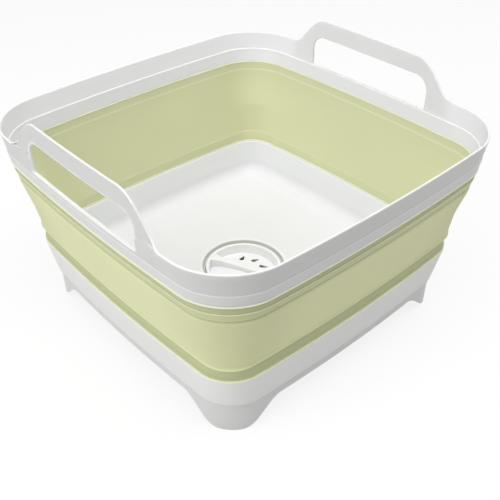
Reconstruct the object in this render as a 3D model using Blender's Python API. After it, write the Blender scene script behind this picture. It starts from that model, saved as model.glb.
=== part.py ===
"""Collapsible camp washbasin, in metres, +Z up, standing on its four feet at z = 0.

The tub is a rounded square whose sides bow out a little. All its walls follow one outline, so a place on
them is given by two things: the offset, measured inwards from the top edge of the rim, and the station, which
is the place along the perimeter. A moulding is skinned over a closed chain of such outlines.

The rim and the base are hard mouldings. Between them hangs one soft wall, which folds at two lines: its
middle panel turns inside out when the rim is pushed down over the base. The soft wall is modelled as its
upper band, its panel and its lower band, divided at those two fold lines.
"""

import math

import bmesh
import bpy
from mathutils import Matrix, Vector

# Overall outline, at the top edge of the rim
WIDTH = 0.315
DEPTH = 0.314
SIDE_BOW_SHARE = 0.039

# Corner radius of the outer skin at each of its main levels
RIM_CORNER_RADIUS = 0.0475
SEAM_CORNER_RADIUS = 0.0410
UPPER_FOLD_CORNER_RADIUS = 0.0355
PANEL_CORNER_RADIUS = 0.0345
LOWER_FOLD_CORNER_RADIUS = 0.0230
LIP_CORNER_RADIUS = 0.0290
STEP_CORNER_RADIUS = 0.0300
FOOT_CORNER_RADIUS = 0.0325

# Heights, stacked from the ground up
FOOT_HEIGHT = 0.0217
SKIRT_HEIGHT = 0.0098
BASE_BAND_HEIGHT = 0.0309
LOWER_BAND_HEIGHT = 0.0128
PANEL_HEIGHT = 0.0558
UPPER_BAND_HEIGHT = 0.0162
RIM_HEIGHT = 0.0283
HANDLE_RISE = 0.0300

# How far each stretch of the wall leans in on its way down
RIM_FLARE = 0.0047
UPPER_BAND_TAPER = 0.0019
PANEL_TAPER = 0.0123
LOWER_BAND_TAPER = 0.0005
BASE_BAND_TAPER = 0.0049
SKIRT_TAPER = 0.0007

# Wall thicknesses, and the gap kept between pieces that touch
RIM_WALL = 0.0025
SOFT_WALL = 0.0024
BASE_WALL = 0.0022
FLOOR_WALL = 0.0022
SEAT_GAP = 0.0003
EDGE_ROUND = 0.0009

# Rim: the inner ledge, the step outside, and the step at the seam with the soft wall
LEDGE_DROP = 0.0159
LEDGE_WIDTH = 0.0008
RIM_STEP_DROP = 0.0181
RIM_STEP_IN = 0.0005
SEAM_STEP = 0.0005

# Tongue of each hard moulding, around which the soft wall is moulded
TONGUE_HEIGHT = 0.0040
TONGUE_SKIN = 0.0005

# Handles: a grip and two legs that stand up from the rim on the X sides
GRIP_LENGTH = 0.134
GRIP_OPENING_RADIUS = 0.013
GRIP_HEIGHT = 0.0168
GRIP_SILL = 0.0006
LEG_TOP_REACH = 0.054
LEG_FOOT_REACH = 0.099
LEG_FLANK_POWER_SHARE = 1.35
HANDLE_INSET = 0.0008

# Soft wall: grooves of the two fold lines and the crown of the panel
FOLD_GROOVE = 0.0009
FOLD_GROOVE_HEIGHT = 0.0022
HINGE_RIDGE_SHARE = 0.42
FOLD_EDGE_SHARE = 1 / 3
PANEL_CROWN = 0.0005
LIP_SHELF = 0.0014

# Base: lip, step, feet and the tub inside the skirt
LIP_WIDTH = 0.0055
LIP_DEPTH = 0.0070
STEP_IN = 0.0008
TUB_WALL_TAPER = 0.0062
FLOOR_DEPTH_BELOW_LIP = 0.0320
FLOOR_FALL = 0.0005
FLOOR_FILLET = 0.0120
FOOT_FLAT_REACH = 0.017
FOOT_ROOT_REACH = 0.046

# Sump in the middle of the floor, and its outlet
STRAINER_FIT = 0.0005
RECESS_CHAMFER = 0.0024
SUMP_DEPTH = 0.0187
SEAT_LEDGE_WIDTH = 0.0038
SEAT_LEDGE_HEIGHT = 0.0046
OUTLET_RADIUS = 0.0144
SPIGOT_HEIGHT = 0.0038
SPIGOT_WALL = 0.0024

# Strainer: ring, domed floor, crossbar, slots and stem
STRAINER_RADIUS = 0.0346
STRAINER_WALL = 0.0018
STRAINER_HEIGHT = 0.0117
STRAINER_DRAFT = 0.0005
STRAINER_FLOOR_WALL = 0.0016
STRAINER_FLOOR_DEPTH = 0.0094
DOME_RISE = 0.0040
BAR_WIDTH = 0.0042
BAR_FLARE = 0.0040
BAR_DROP = 0.0004
BAR_ANGLE = math.radians(97.0)
SLOT_COUNT = 12
SLOT_CIRCLE_RADIUS = 0.0242
SLOT_LENGTH = 0.0088
SLOT_WIDTH = 0.0042
SLOT_SLANT = math.radians(38.0)
STEM_RADIUS = 0.0040
BARB_OVERHANG = 0.0012
BARB_HEIGHT = 0.0010

# Rubber plug under the strainer
PLUG_DISC_RADIUS = 0.0190
PLUG_DISC_THICKNESS = 0.0020
PLUG_NECK_HEIGHT = 0.0030
PLUG_NECK_WALL = 0.0024
PLUG_CONE_DEPTH = 0.0026
PLUG_CONE_DRAFT = 0.0012
PLUG_BORE_FIT = 0.0004

# Resolution of the curves
CORNER_SEGMENTS = 6
FILLET_SEGMENTS = 4
TURN_SEGMENTS = 36
SLOT_HEAD_SEGMENTS = 7
GRIP_CORNER_SEGMENTS = 6
CUT_OVERRUN = 0.010
SMOOTH_ANGLE = math.radians(32.0)

# Levels and offsets that follow from the sizes above
STEP_Z = FOOT_HEIGHT + SKIRT_HEIGHT
LIP_Z = STEP_Z + BASE_BAND_HEIGHT
LOWER_FOLD_Z = LIP_Z + LOWER_BAND_HEIGHT
UPPER_FOLD_Z = LOWER_FOLD_Z + PANEL_HEIGHT
PANEL_MIDDLE_Z = LOWER_FOLD_Z + PANEL_HEIGHT / 2
SEAM_Z = UPPER_FOLD_Z + UPPER_BAND_HEIGHT
RIM_TOP_Z = SEAM_Z + RIM_HEIGHT
LEDGE_Z = RIM_TOP_Z - LEDGE_DROP
RIM_STEP_Z = RIM_TOP_Z - RIM_STEP_DROP
HANDLE_TOP_Z = RIM_TOP_Z + HANDLE_RISE
FLOOR_Z = LIP_Z - FLOOR_DEPTH_BELOW_LIP
SUMP_Z = FLOOR_Z - SUMP_DEPTH
STRAINER_SEAT_Z = SUMP_Z + SEAT_LEDGE_HEIGHT
OUTLET_Z = SUMP_Z - FLOOR_WALL - SPIGOT_HEIGHT
SEAT_RADIUS = STRAINER_RADIUS + STRAINER_FIT
RECESS_RADIUS = SEAT_RADIUS + RECESS_CHAMFER

SEAM_OFFSET = RIM_FLARE
SOFT_TOP_OFFSET = SEAM_OFFSET + SEAM_STEP
UPPER_FOLD_OFFSET = SOFT_TOP_OFFSET + UPPER_BAND_TAPER
PANEL_MIDDLE_OFFSET = UPPER_FOLD_OFFSET + PANEL_TAPER / 2
LOWER_FOLD_OFFSET = UPPER_FOLD_OFFSET + PANEL_TAPER
SOFT_BOTTOM_OFFSET = LOWER_FOLD_OFFSET + LOWER_BAND_TAPER
LIP_OFFSET = SOFT_BOTTOM_OFFSET - LIP_SHELF
STEP_OFFSET = LIP_OFFSET + BASE_BAND_TAPER
SKIRT_OFFSET = STEP_OFFSET + STEP_IN + SKIRT_TAPER
TUB_TOP_OFFSET = LIP_OFFSET + LIP_WIDTH
LEDGE_OFFSET = RIM_FLARE * LEDGE_DROP / RIM_HEIGHT
RIM_STEP_OFFSET = RIM_FLARE * RIM_STEP_DROP / RIM_HEIGHT

# The outer skin from level to level, as (z, offset, corner radius)
WALL_LEVELS = (
    (LIP_Z, SOFT_BOTTOM_OFFSET, LIP_CORNER_RADIUS - LIP_SHELF),
    (LOWER_FOLD_Z, LOWER_FOLD_OFFSET, LOWER_FOLD_CORNER_RADIUS),
    (PANEL_MIDDLE_Z, PANEL_MIDDLE_OFFSET, PANEL_CORNER_RADIUS),
    (UPPER_FOLD_Z, UPPER_FOLD_OFFSET, UPPER_FOLD_CORNER_RADIUS),
    (SEAM_Z, SOFT_TOP_OFFSET, SEAM_CORNER_RADIUS),
    (LEDGE_Z, LEDGE_OFFSET, SEAM_CORNER_RADIUS),
    (RIM_TOP_Z, 0.0, RIM_CORNER_RADIUS),
)
SKIRT_LEVELS = (
    (STEP_Z - STEP_IN, STEP_OFFSET + STEP_IN, FOOT_CORNER_RADIUS),
    (STEP_Z, STEP_OFFSET, STEP_CORNER_RADIUS),
    (LIP_Z, LIP_OFFSET, LIP_CORNER_RADIUS),
)

# Places along half a side, as shares of its straight half, from its middle to the corner
PLAIN_SIDE_SHARES = (0.0, 0.25, 0.5, 0.75)
HANDLE_SIDE_SHARES = (0.0, 0.25, 0.44, 0.50, 0.56, 0.62, 0.68, 0.74, 0.80, 0.86, 0.93)
FOOT_SIDE_SHARES = (0.0, 0.3, 0.6, 0.74, 0.82, 0.88, 0.94)


def quarter_stations(first_shares, second_shares):
    """Stations from the middle of one side round its corner to just short of the next side's middle."""
    stations = [("side", share) for share in first_shares]
    stations += [("corner", step / CORNER_SEGMENTS) for step in range(CORNER_SEGMENTS + 1)]
    stations += [("next side", share) for share in reversed(second_shares[1:])]
    return stations


def stations_round(x_side_shares, y_side_shares):
    """Stations all the way round, as (quarter, kind, share), starting at the middle of the +X side."""
    stations = []
    for quarter in range(4):
        pair = (x_side_shares, y_side_shares) if quarter % 2 == 0 else (y_side_shares, x_side_shares)
        stations += [(quarter, kind, share) for kind, share in quarter_stations(*pair)]
    return stations


def outline_point(offset, station, radius):
    """The point (x, y) of the outline at an offset, and how far along the perimeter it lies from the middle
    of the side where its quarter starts and from the middle of the corner."""
    quarter, kind, share = station
    half_x = WIDTH / 2 - offset
    half_y = DEPTH / 2 - offset
    along, across = (half_y, half_x) if quarter % 2 == 0 else (half_x, half_y)
    arc_length = radius * math.pi / 2
    first_straight = along - radius
    second_straight = across - radius
    if kind == "side":
        forward, sideways = across, share * first_straight
        from_side = sideways
        from_corner = first_straight - sideways + arc_length / 2
    elif kind == "corner":
        angle = share * math.pi / 2
        forward = second_straight + radius * math.cos(angle)
        sideways = first_straight + radius * math.sin(angle)
        from_side = first_straight + share * arc_length
        from_corner = abs(share * arc_length - arc_length / 2)
    else:
        forward, sideways = share * second_straight, along
        from_side = first_straight + arc_length + second_straight - forward
        from_corner = second_straight - forward + arc_length / 2
    bowed_forward = forward * (1 - SIDE_BOW_SHARE * (sideways / along) ** 2)
    bowed_sideways = sideways * (1 - SIDE_BOW_SHARE * (forward / across) ** 2)
    turn = Matrix.Rotation(quarter * math.pi / 2, 2)
    x, y = turn @ Vector((bowed_forward, bowed_sideways))
    return x, y, from_side, from_corner


def from_handle_middle(station):
    """How far along the rim's top edge a station lies from the middle of the nearest X side."""
    quarter, kind, share = station
    if quarter % 2 == 0:
        return outline_point(0.0, station, RIM_CORNER_RADIUS)[2]
    mirrored_kind = {"side": "next side", "next side": "side", "corner": "corner"}[kind]
    mirrored_share = 1 - share if kind == "corner" else share
    return outline_point(0.0, (quarter - 1, mirrored_kind, mirrored_share), RIM_CORNER_RADIUS)[2]


def smooth_step(share):
    """Rise from 0 to 1 with level ends."""
    share = min(max(share, 0.0), 1.0)
    return share * share * (3 - 2 * share)


def along_levels(z, levels):
    """Offset and corner radius at a height, read along a list of (z, offset, radius) from the lowest up."""
    if z <= levels[0][0]:
        return levels[0][1:]
    for low, high in zip(levels, levels[1:]):
        if z <= high[0]:
            share = (z - low[0]) / (high[0] - low[0])
            return [at_low + share * (at_high - at_low) for at_low, at_high in zip(low[1:], high[1:])]
    return levels[-1][1:]


def wall_radius(offset, z):
    """Corner radius in the soft wall and the rim: the outer skin's at that height, less the depth inside it."""
    skin_offset, skin_radius = along_levels(z, WALL_LEVELS)
    return skin_radius - (offset - skin_offset)


def tub_radius(offset, _z):
    """Corner radius inside the base, concentric with its lip."""
    return LIP_CORNER_RADIUS - (offset - LIP_OFFSET)


def skirt_radius(offset, z):
    """Corner radius of the base's outer wall, which is rounder on the skirt and the feet."""
    skin_offset, skin_radius = along_levels(z, SKIRT_LEVELS)
    return skin_radius - (offset - skin_offset)


def ring(offset, z, stations, radius_rule):
    """One outline as a list of points. The offset and z are numbers or functions of the station."""
    points = []
    for station in stations:
        own_offset = offset(station) if callable(offset) else offset
        own_z = z(station) if callable(z) else z
        x, y = outline_point(own_offset, station, radius_rule(own_offset, own_z))[:2]
        points.append((x, y, own_z))
    return points


def circle(radius, z, count):
    """A level circle with as many points as the outlines that it is joined to."""
    turn = 2 * math.pi / count
    return [(radius * math.cos(turn * step), radius * math.sin(turn * step), z) for step in range(count)]


def skin(rings):
    """Join a closed chain of rings, the last to the first, into one closed body with faces pointing out."""
    body = bmesh.new()
    rows = [[body.verts.new(point) for point in points] for points in rings]
    count = len(rows[0])
    for row, next_row in zip(rows, rows[1:] + rows[:1]):
        for place in range(count):
            after = (place + 1) % count
            body.faces.new((row[place], row[after], next_row[after], next_row[place]))
    bmesh.ops.recalc_face_normals(body, faces=body.faces)
    return body


def turned(profile):
    """Turn a closed profile of (radius, z) about Z. A radius of 0 is a pole."""
    body = bmesh.new()
    turn = 2 * math.pi / TURN_SEGMENTS
    rows = []
    for radius, z in profile:
        if radius == 0:
            rows.append([body.verts.new((0, 0, z))] * TURN_SEGMENTS)
        else:
            rows.append([body.verts.new((radius * math.cos(turn * step), radius * math.sin(turn * step), z))
                         for step in range(TURN_SEGMENTS)])
    for row, next_row in zip(rows, rows[1:] + rows[:1]):
        for place in range(TURN_SEGMENTS):
            after = (place + 1) % TURN_SEGMENTS
            corners = []
            for corner in (row[place], row[after], next_row[after], next_row[place]):
                if corner not in corners:
                    corners.append(corner)
            if len(corners) > 2:
                body.faces.new(corners)
    bmesh.ops.recalc_face_normals(body, faces=body.faces)
    return body


def prism(outline, start, end, frame):
    """Extrude an outline of (u, v) between two places along the third axis of a frame."""
    body = bmesh.new()
    low = [body.verts.new(frame @ Vector((u, v, start))) for u, v in outline]
    high = [body.verts.new(frame @ Vector((u, v, end))) for u, v in outline]
    body.faces.new(low)
    body.faces.new(high)
    for place in range(len(outline)):
        after = (place + 1) % len(outline)
        body.faces.new((low[place], low[after], high[after], high[place]))
    bmesh.ops.recalc_face_normals(body, faces=body.faces)
    return body


def make_material(name, colour, roughness):
    """A plain moulded plastic or rubber."""
    material = bpy.data.materials.new(name)
    material.use_nodes = True
    shader = material.node_tree.nodes["Principled BSDF"]
    shader.inputs["Base Color"].default_value = (*colour, 1.0)
    shader.inputs["Roughness"].default_value = roughness
    shader.inputs["Metallic"].default_value = 0.0
    return material


def add_empty(name, place):
    """An empty on a joint's axis, which carries the pieces that move with it."""
    empty = bpy.data.objects.new(name, None)
    empty.location = place
    bpy.context.scene.collection.objects.link(empty)
    return empty


def add_piece(name, body, material, carrier):
    """Make an object of a body whose points are in the tub's frame, with its origin on its carrier."""
    bmesh.ops.translate(body, verts=body.verts, vec=-carrier.location)
    mesh = bpy.data.meshes.new(name)
    body.to_mesh(mesh)
    body.free()
    mesh.shade_smooth()
    mesh.set_sharp_from_angle(angle=SMOOTH_ANGLE)
    mesh.materials.append(material)
    piece = bpy.data.objects.new(name, mesh)
    piece.parent = carrier
    bpy.context.scene.collection.objects.link(piece)
    return piece


def add_tool(name, body, material, carrier):
    """A body that only shapes another piece."""
    tool = add_piece(name, body, material, carrier)
    tool.hide_render = True
    tool.display_type = "WIRE"
    return tool


def combine(piece, tool, operation):
    """Cut a piece with a tool, or join the tool to it."""
    modifier = piece.modifiers.new(tool.name, "BOOLEAN")
    modifier.operation = operation
    modifier.solver = "EXACT"
    modifier.object = tool


def soft_offset(z):
    """Outer offset of the soft wall at a height, without its grooves and ridges."""
    return along_levels(min(z, SEAM_Z), WALL_LEVELS)[0]


def tongue_offsets(z):
    """Outer and inner offset of a hard moulding's tongue at a height inside the soft wall."""
    outer = soft_offset(z) + TONGUE_SKIN + SEAT_GAP
    inner = soft_offset(z) + SOFT_WALL - TONGUE_SKIN - SEAT_GAP
    return outer, inner


def tongue_chain(root_z, tip_z):
    """Offsets and heights round a tongue, from the inner side of its root to the outer side."""
    root_outer, root_inner = tongue_offsets(root_z)
    tip_outer, tip_inner = tongue_offsets(tip_z)
    return [(root_inner, root_z), (tip_inner, tip_z), (tip_outer, tip_z), (root_outer, root_z)]


def groove_chain(mouth_z, floor_z):
    """Offsets and heights round the groove for a tongue, from the outer side of its mouth to the inner."""
    mouth_outer, mouth_inner = tongue_offsets(mouth_z)
    floor_outer, floor_inner = tongue_offsets(floor_z)
    return [
        (mouth_outer - SEAT_GAP, mouth_z),
        (floor_outer - SEAT_GAP, floor_z),
        (floor_inner + SEAT_GAP, floor_z),
        (mouth_inner + SEAT_GAP, mouth_z),
    ]


def handle_height(station):
    """Height of the rim's top edge at a station: level, with a handle in the middle of each X side."""
    reach = from_handle_middle(station)
    share = min(max((reach - LEG_TOP_REACH) / (LEG_FOOT_REACH - LEG_TOP_REACH), 0.0), 1.0)
    return HANDLE_RISE * (1 - smooth_step(share ** LEG_FLANK_POWER_SHARE))


def rim_top(station):
    return RIM_TOP_Z + handle_height(station)


def rim_top_offset(station):
    """The rim flares out to its top edge, and the handles stand upright from the step outside it."""
    upright_share = smooth_step(2 * handle_height(station) / HANDLE_RISE)
    return upright_share * (LEDGE_OFFSET + HANDLE_INSET)


def rim_body():
    """The rim as one closed band, with the handles' outline and without their openings."""
    stations = stations_round(HANDLE_SIDE_SHARES, PLAIN_SIDE_SHARES)
    edge_share = 0.3
    ledge_inner = LEDGE_OFFSET + RIM_WALL
    seam_inner = SOFT_TOP_OFFSET + SOFT_WALL

    def top(drop):
        return lambda station: rim_top(station) - drop

    def inset(depth):
        return lambda station: rim_top_offset(station) + depth

    chain = [
        (SEAM_OFFSET, SEAM_Z),
        (RIM_STEP_OFFSET + RIM_STEP_IN, RIM_STEP_Z - RIM_STEP_IN),
        (RIM_STEP_OFFSET, RIM_STEP_Z),
        (inset(0.0), top(EDGE_ROUND)),
        (inset(edge_share * EDGE_ROUND), top(edge_share * EDGE_ROUND)),
        (inset(EDGE_ROUND), top(0.0)),
        (inset(RIM_WALL - EDGE_ROUND), top(0.0)),
        (inset(RIM_WALL - edge_share * EDGE_ROUND), top(edge_share * EDGE_ROUND)),
        (inset(RIM_WALL), top(EDGE_ROUND)),
        (ledge_inner, LEDGE_Z),
        (ledge_inner + LEDGE_WIDTH, LEDGE_Z),
        (seam_inner, SEAM_Z),
    ]
    chain += tongue_chain(SEAM_Z, SEAM_Z - TONGUE_HEIGHT)
    return skin([ring(offset, z, stations, wall_radius) for offset, z in chain])


def grip_openings():
    """Two upright prisms with round upper corners, one through each handle."""
    half = GRIP_LENGTH / 2
    low = LEDGE_Z + GRIP_SILL
    high = HANDLE_TOP_Z - GRIP_HEIGHT
    radius = GRIP_OPENING_RADIUS
    outline = [(-half, low), (half, low)]
    for side, start in ((1, 0.0), (-1, math.pi / 2)):
        for step in range(GRIP_CORNER_SEGMENTS + 1):
            angle = start + step / GRIP_CORNER_SEGMENTS * math.pi / 2
            outline.append((side * (half - radius) + radius * math.cos(angle),
                            high - radius + radius * math.sin(angle)))
    upright = Matrix(((0, 0, 1), (1, 0, 0), (0, 1, 0)))
    tools = []
    for side in (-1, 1):
        outer = side * (WIDTH / 2 + CUT_OVERRUN)
        inner = side * (WIDTH / 2 - CUT_OVERRUN - RIM_FLARE - RIM_WALL)
        tools.append(prism(outline, min(outer, inner), max(outer, inner), upright))
    return tools


def add_rim(material, carrier):
    rim = add_piece("rim_frame", rim_body(), material, carrier)
    for number, body in enumerate(grip_openings(), start=1):
        combine(rim, add_tool(f"grip_opening_{number}", body, material, carrier), "DIFFERENCE")
    return rim


def upper_band_body():
    """The soft wall's upper band, with a groove round the rim's tongue and a ridge between two hinges."""
    stations = stations_round(PLAIN_SIDE_SHARES, PLAIN_SIDE_SHARES)
    top = SEAM_Z - SEAT_GAP
    low = UPPER_FOLD_Z + SEAT_GAP / 2
    ridge_z = SEAM_Z - HINGE_RIDGE_SHARE * UPPER_BAND_HEIGHT
    ridge_half = FOLD_GROOVE_HEIGHT / 4
    fold_edge = FOLD_GROOVE * FOLD_EDGE_SHARE
    chain = [
        (soft_offset(low) + fold_edge, low),
        (soft_offset(low + FOLD_GROOVE_HEIGHT) + FOLD_GROOVE / 2, low + FOLD_GROOVE_HEIGHT),
        (soft_offset(ridge_z) + FOLD_GROOVE / 2, ridge_z - 2 * ridge_half),
        (soft_offset(ridge_z) - fold_edge, ridge_z - ridge_half),
        (soft_offset(ridge_z) - fold_edge, ridge_z + ridge_half),
        (soft_offset(top), top),
    ]
    chain += groove_chain(top, SEAM_Z - TONGUE_HEIGHT - SEAT_GAP)
    chain += [
        (soft_offset(top) + SOFT_WALL, top),
        (soft_offset(low) + SOFT_WALL, low),
    ]
    return skin([ring(offset, z, stations, wall_radius) for offset, z in chain])


def panel_body():
    """The soft wall's middle panel, slightly crowned, which turns inside out when the tub folds."""
    stations = stations_round(PLAIN_SIDE_SHARES, PLAIN_SIDE_SHARES)
    top = UPPER_FOLD_Z - SEAT_GAP / 2
    low = LOWER_FOLD_Z + SEAT_GAP / 2
    fold_edge = FOLD_GROOVE * FOLD_EDGE_SHARE
    chain = [
        (soft_offset(low) + fold_edge, low),
        (soft_offset(low + FOLD_GROOVE_HEIGHT / 2), low + FOLD_GROOVE_HEIGHT / 2),
        (soft_offset(PANEL_MIDDLE_Z) - PANEL_CROWN, PANEL_MIDDLE_Z),
        (soft_offset(top - FOLD_GROOVE_HEIGHT / 2), top - FOLD_GROOVE_HEIGHT / 2),
        (soft_offset(top) + fold_edge, top),
        (soft_offset(top) + SOFT_WALL, top),
        (soft_offset(PANEL_MIDDLE_Z) + SOFT_WALL, PANEL_MIDDLE_Z),
        (soft_offset(low) + SOFT_WALL, low),
    ]
    return skin([ring(offset, z, stations, wall_radius) for offset, z in chain])


def lower_band_body():
    """The soft wall's lower band, with its groove round the base's tongue."""
    stations = stations_round(PLAIN_SIDE_SHARES, PLAIN_SIDE_SHARES)
    top = LOWER_FOLD_Z - SEAT_GAP / 2
    low = LIP_Z + SEAT_GAP
    fold_edge = FOLD_GROOVE * FOLD_EDGE_SHARE
    chain = [
        (soft_offset(low), low),
        (soft_offset(top - FOLD_GROOVE_HEIGHT) + FOLD_GROOVE / 2, top - FOLD_GROOVE_HEIGHT),
        (soft_offset(top) + fold_edge, top),
        (soft_offset(top) + SOFT_WALL, top),
        (soft_offset(low) + SOFT_WALL, low),
    ]
    chain += reversed(groove_chain(low, LIP_Z + TONGUE_HEIGHT + SEAT_GAP))
    return skin([ring(offset, z, stations, wall_radius) for offset, z in chain])


def skirt_bottom(station):
    """Height of the skirt's lower edge: on the ground at the corners, one foot's height up between them."""
    from_corner = outline_point(SKIRT_OFFSET, station, FOOT_CORNER_RADIUS)[3]
    share = (from_corner - FOOT_FLAT_REACH) / (FOOT_ROOT_REACH - FOOT_FLAT_REACH)
    return FOOT_HEIGHT * smooth_step(share)


def floor_fillet(radius, wall_offset, floor_z, segments):
    """Offsets and heights of the round between the tub's wall and floor, from the floor up."""
    points = []
    for step in range(segments + 1):
        angle = step / segments * math.pi / 2
        points.append((wall_offset + radius * (1 - math.sin(angle)), floor_z + radius * (1 - math.cos(angle))))
    return points


def tray_body():
    """The base: tub floor with its sump and outlet, tub wall, lip, hollow skirt and the four feet."""
    stations = stations_round(FOOT_SIDE_SHARES, FOOT_SIDE_SHARES)
    count = len(stations)
    wall_foot_offset = TUB_TOP_OFFSET + TUB_WALL_TAPER
    floor_edge_z = FLOOR_Z + FLOOR_FALL
    under_lip_z = LIP_Z - LIP_DEPTH
    outer_slope = BASE_BAND_TAPER / BASE_BAND_HEIGHT
    inner_slope = TUB_WALL_TAPER / (LIP_Z - floor_edge_z - FLOOR_FILLET)
    inner_fillet = floor_fillet(FLOOR_FILLET, wall_foot_offset, floor_edge_z, FILLET_SEGMENTS)
    outer_fillet = floor_fillet(FLOOR_FILLET, wall_foot_offset - BASE_WALL, floor_edge_z - FLOOR_WALL,
                                FILLET_SEGMENTS // 2)

    inside = [
        circle(OUTLET_RADIUS, OUTLET_Z, count),
        circle(OUTLET_RADIUS, SUMP_Z, count),
        circle(SEAT_RADIUS - SEAT_LEDGE_WIDTH, SUMP_Z, count),
        circle(SEAT_RADIUS - SEAT_LEDGE_WIDTH, STRAINER_SEAT_Z, count),
        circle(SEAT_RADIUS, STRAINER_SEAT_Z, count),
        circle(SEAT_RADIUS, FLOOR_Z - 2 * RECESS_CHAMFER, count),
        circle(RECESS_RADIUS, FLOOR_Z - EDGE_ROUND, count),
        circle(RECESS_RADIUS + EDGE_ROUND, FLOOR_Z, count),
    ]
    inside += [ring(offset, z, stations, tub_radius) for offset, z in inner_fillet]
    inside.append(ring(TUB_TOP_OFFSET, LIP_Z, stations, tub_radius))
    tongue = tongue_chain(LIP_Z, LIP_Z + TONGUE_HEIGHT)
    skirt = [
        (LIP_OFFSET + EDGE_ROUND / 2, LIP_Z),
        (LIP_OFFSET, LIP_Z - EDGE_ROUND / 2),
        (STEP_OFFSET, STEP_Z),
        (STEP_OFFSET + STEP_IN, STEP_Z - STEP_IN),
        (SKIRT_OFFSET, skirt_bottom),
        (SKIRT_OFFSET + BASE_WALL, skirt_bottom),
        (STEP_OFFSET + STEP_IN + BASE_WALL, STEP_Z - STEP_IN),
        (LIP_OFFSET + outer_slope * LIP_DEPTH + BASE_WALL, under_lip_z),
    ]
    outside = [ring(offset, z, stations, wall_radius) for offset, z in tongue]
    outside += [ring(offset, z, stations, skirt_radius) for offset, z in skirt]
    underside = [ring(TUB_TOP_OFFSET + inner_slope * LIP_DEPTH - BASE_WALL, under_lip_z, stations, tub_radius)]
    underside += [ring(offset, z, stations, tub_radius) for offset, z in reversed(outer_fillet)]
    underside += [
        circle(RECESS_RADIUS + FLOOR_WALL, FLOOR_Z - FLOOR_WALL, count),
        circle(RECESS_RADIUS, FLOOR_Z - FLOOR_WALL - RECESS_CHAMFER, count),
        circle(RECESS_RADIUS, STRAINER_SEAT_Z - FLOOR_WALL, count),
        circle(SEAT_RADIUS - SEAT_LEDGE_WIDTH + FLOOR_WALL, STRAINER_SEAT_Z - FLOOR_WALL, count),
        circle(SEAT_RADIUS - SEAT_LEDGE_WIDTH + FLOOR_WALL, SUMP_Z - FLOOR_WALL, count),
        circle(OUTLET_RADIUS + SPIGOT_WALL, SUMP_Z - FLOOR_WALL, count),
        circle(OUTLET_RADIUS + SPIGOT_WALL, OUTLET_Z, count),
    ]
    return skin(inside + outside + underside)


def dome_z(radius):
    """Height of the strainer's domed floor at a radius."""
    inner_radius = STRAINER_RADIUS - STRAINER_WALL
    ring_top = STRAINER_SEAT_Z + SEAT_GAP + STRAINER_HEIGHT
    return ring_top - STRAINER_FLOOR_DEPTH + DOME_RISE * (1 - (radius / inner_radius) ** 2)


def strainer_cup_body():
    """The strainer's ring and domed floor, with the stem and its barb below, as one turned body."""
    bottom = STRAINER_SEAT_Z + SEAT_GAP
    top = bottom + STRAINER_HEIGHT
    inner = STRAINER_RADIUS - STRAINER_WALL
    plug_bottom = SUMP_Z + SEAT_GAP - PLUG_CONE_DEPTH
    barb_top = plug_bottom - SEAT_GAP
    dome_shares = (1.0, 0.75, 0.5, 0.25)
    profile = [(0, dome_z(0.0))]
    profile += [(inner * share, dome_z(inner * share)) for share in reversed(dome_shares)]
    profile += [
        (inner, top - EDGE_ROUND / 2),
        (inner + EDGE_ROUND / 2, top),
        (STRAINER_RADIUS - EDGE_ROUND / 2, top),
        (STRAINER_RADIUS, top - EDGE_ROUND / 2),
        (STRAINER_RADIUS - STRAINER_DRAFT, bottom),
        (inner - STRAINER_DRAFT, bottom),
    ]
    profile += [(inner * share, dome_z(inner * share) - STRAINER_FLOOR_WALL) for share in dome_shares[1:]]
    profile += [
        (STEM_RADIUS, dome_z(STEM_RADIUS) - STRAINER_FLOOR_WALL),
        (STEM_RADIUS, barb_top),
        (STEM_RADIUS + BARB_OVERHANG, barb_top),
        (STEM_RADIUS, barb_top - BARB_HEIGHT),
        (0, barb_top - BARB_HEIGHT),
    ]
    return turned(profile)


def crossbar_body():
    """The grip across the ring: a web that flares where it meets the ring and follows the domed floor."""
    reach = STRAINER_RADIUS - STRAINER_WALL / 2
    top = STRAINER_SEAT_Z + SEAT_GAP + STRAINER_HEIGHT - BAR_DROP
    along = Vector((math.cos(BAR_ANGLE), math.sin(BAR_ANGLE), 0))
    across = Vector((-along.y, along.x, 0))
    place_shares = (-1.0, -0.9, -0.78, -0.6, -0.3, 0.0, 0.3, 0.6, 0.78, 0.9, 1.0)
    body = bmesh.new()
    rows = []
    for share in place_shares:
        half = BAR_WIDTH / 2 + BAR_FLARE * abs(share) ** 6
        foot = dome_z(abs(share) * reach) - STRAINER_FLOOR_WALL / 2
        corners = ((-half, foot), (half, foot), (half - EDGE_ROUND / 2, top), (EDGE_ROUND / 2 - half, top))
        rows.append([body.verts.new(share * reach * along + side * across + Vector((0, 0, z)))
                     for side, z in corners])
    for row, next_row in zip(rows, rows[1:]):
        for place in range(len(row)):
            after = (place + 1) % len(row)
            body.faces.new((row[place], row[after], next_row[after], next_row[place]))
    body.faces.new(rows[0])
    body.faces.new(rows[-1])
    bmesh.ops.recalc_face_normals(body, faces=body.faces)
    return body


def slot_outline():
    """A teardrop with its round head at one end and its point at the other."""
    head = SLOT_WIDTH / 2
    point = SLOT_LENGTH - head
    tangent = math.acos(head / point)
    outline = [(point, 0.0)]
    for step in range(SLOT_HEAD_SEGMENTS + 1):
        angle = tangent + step / SLOT_HEAD_SEGMENTS * 2 * (math.pi - tangent)
        outline.append((head * math.cos(angle), head * math.sin(angle)))
    middle = (point - head) / 2
    return [(u - middle, v) for u, v in outline]


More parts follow.
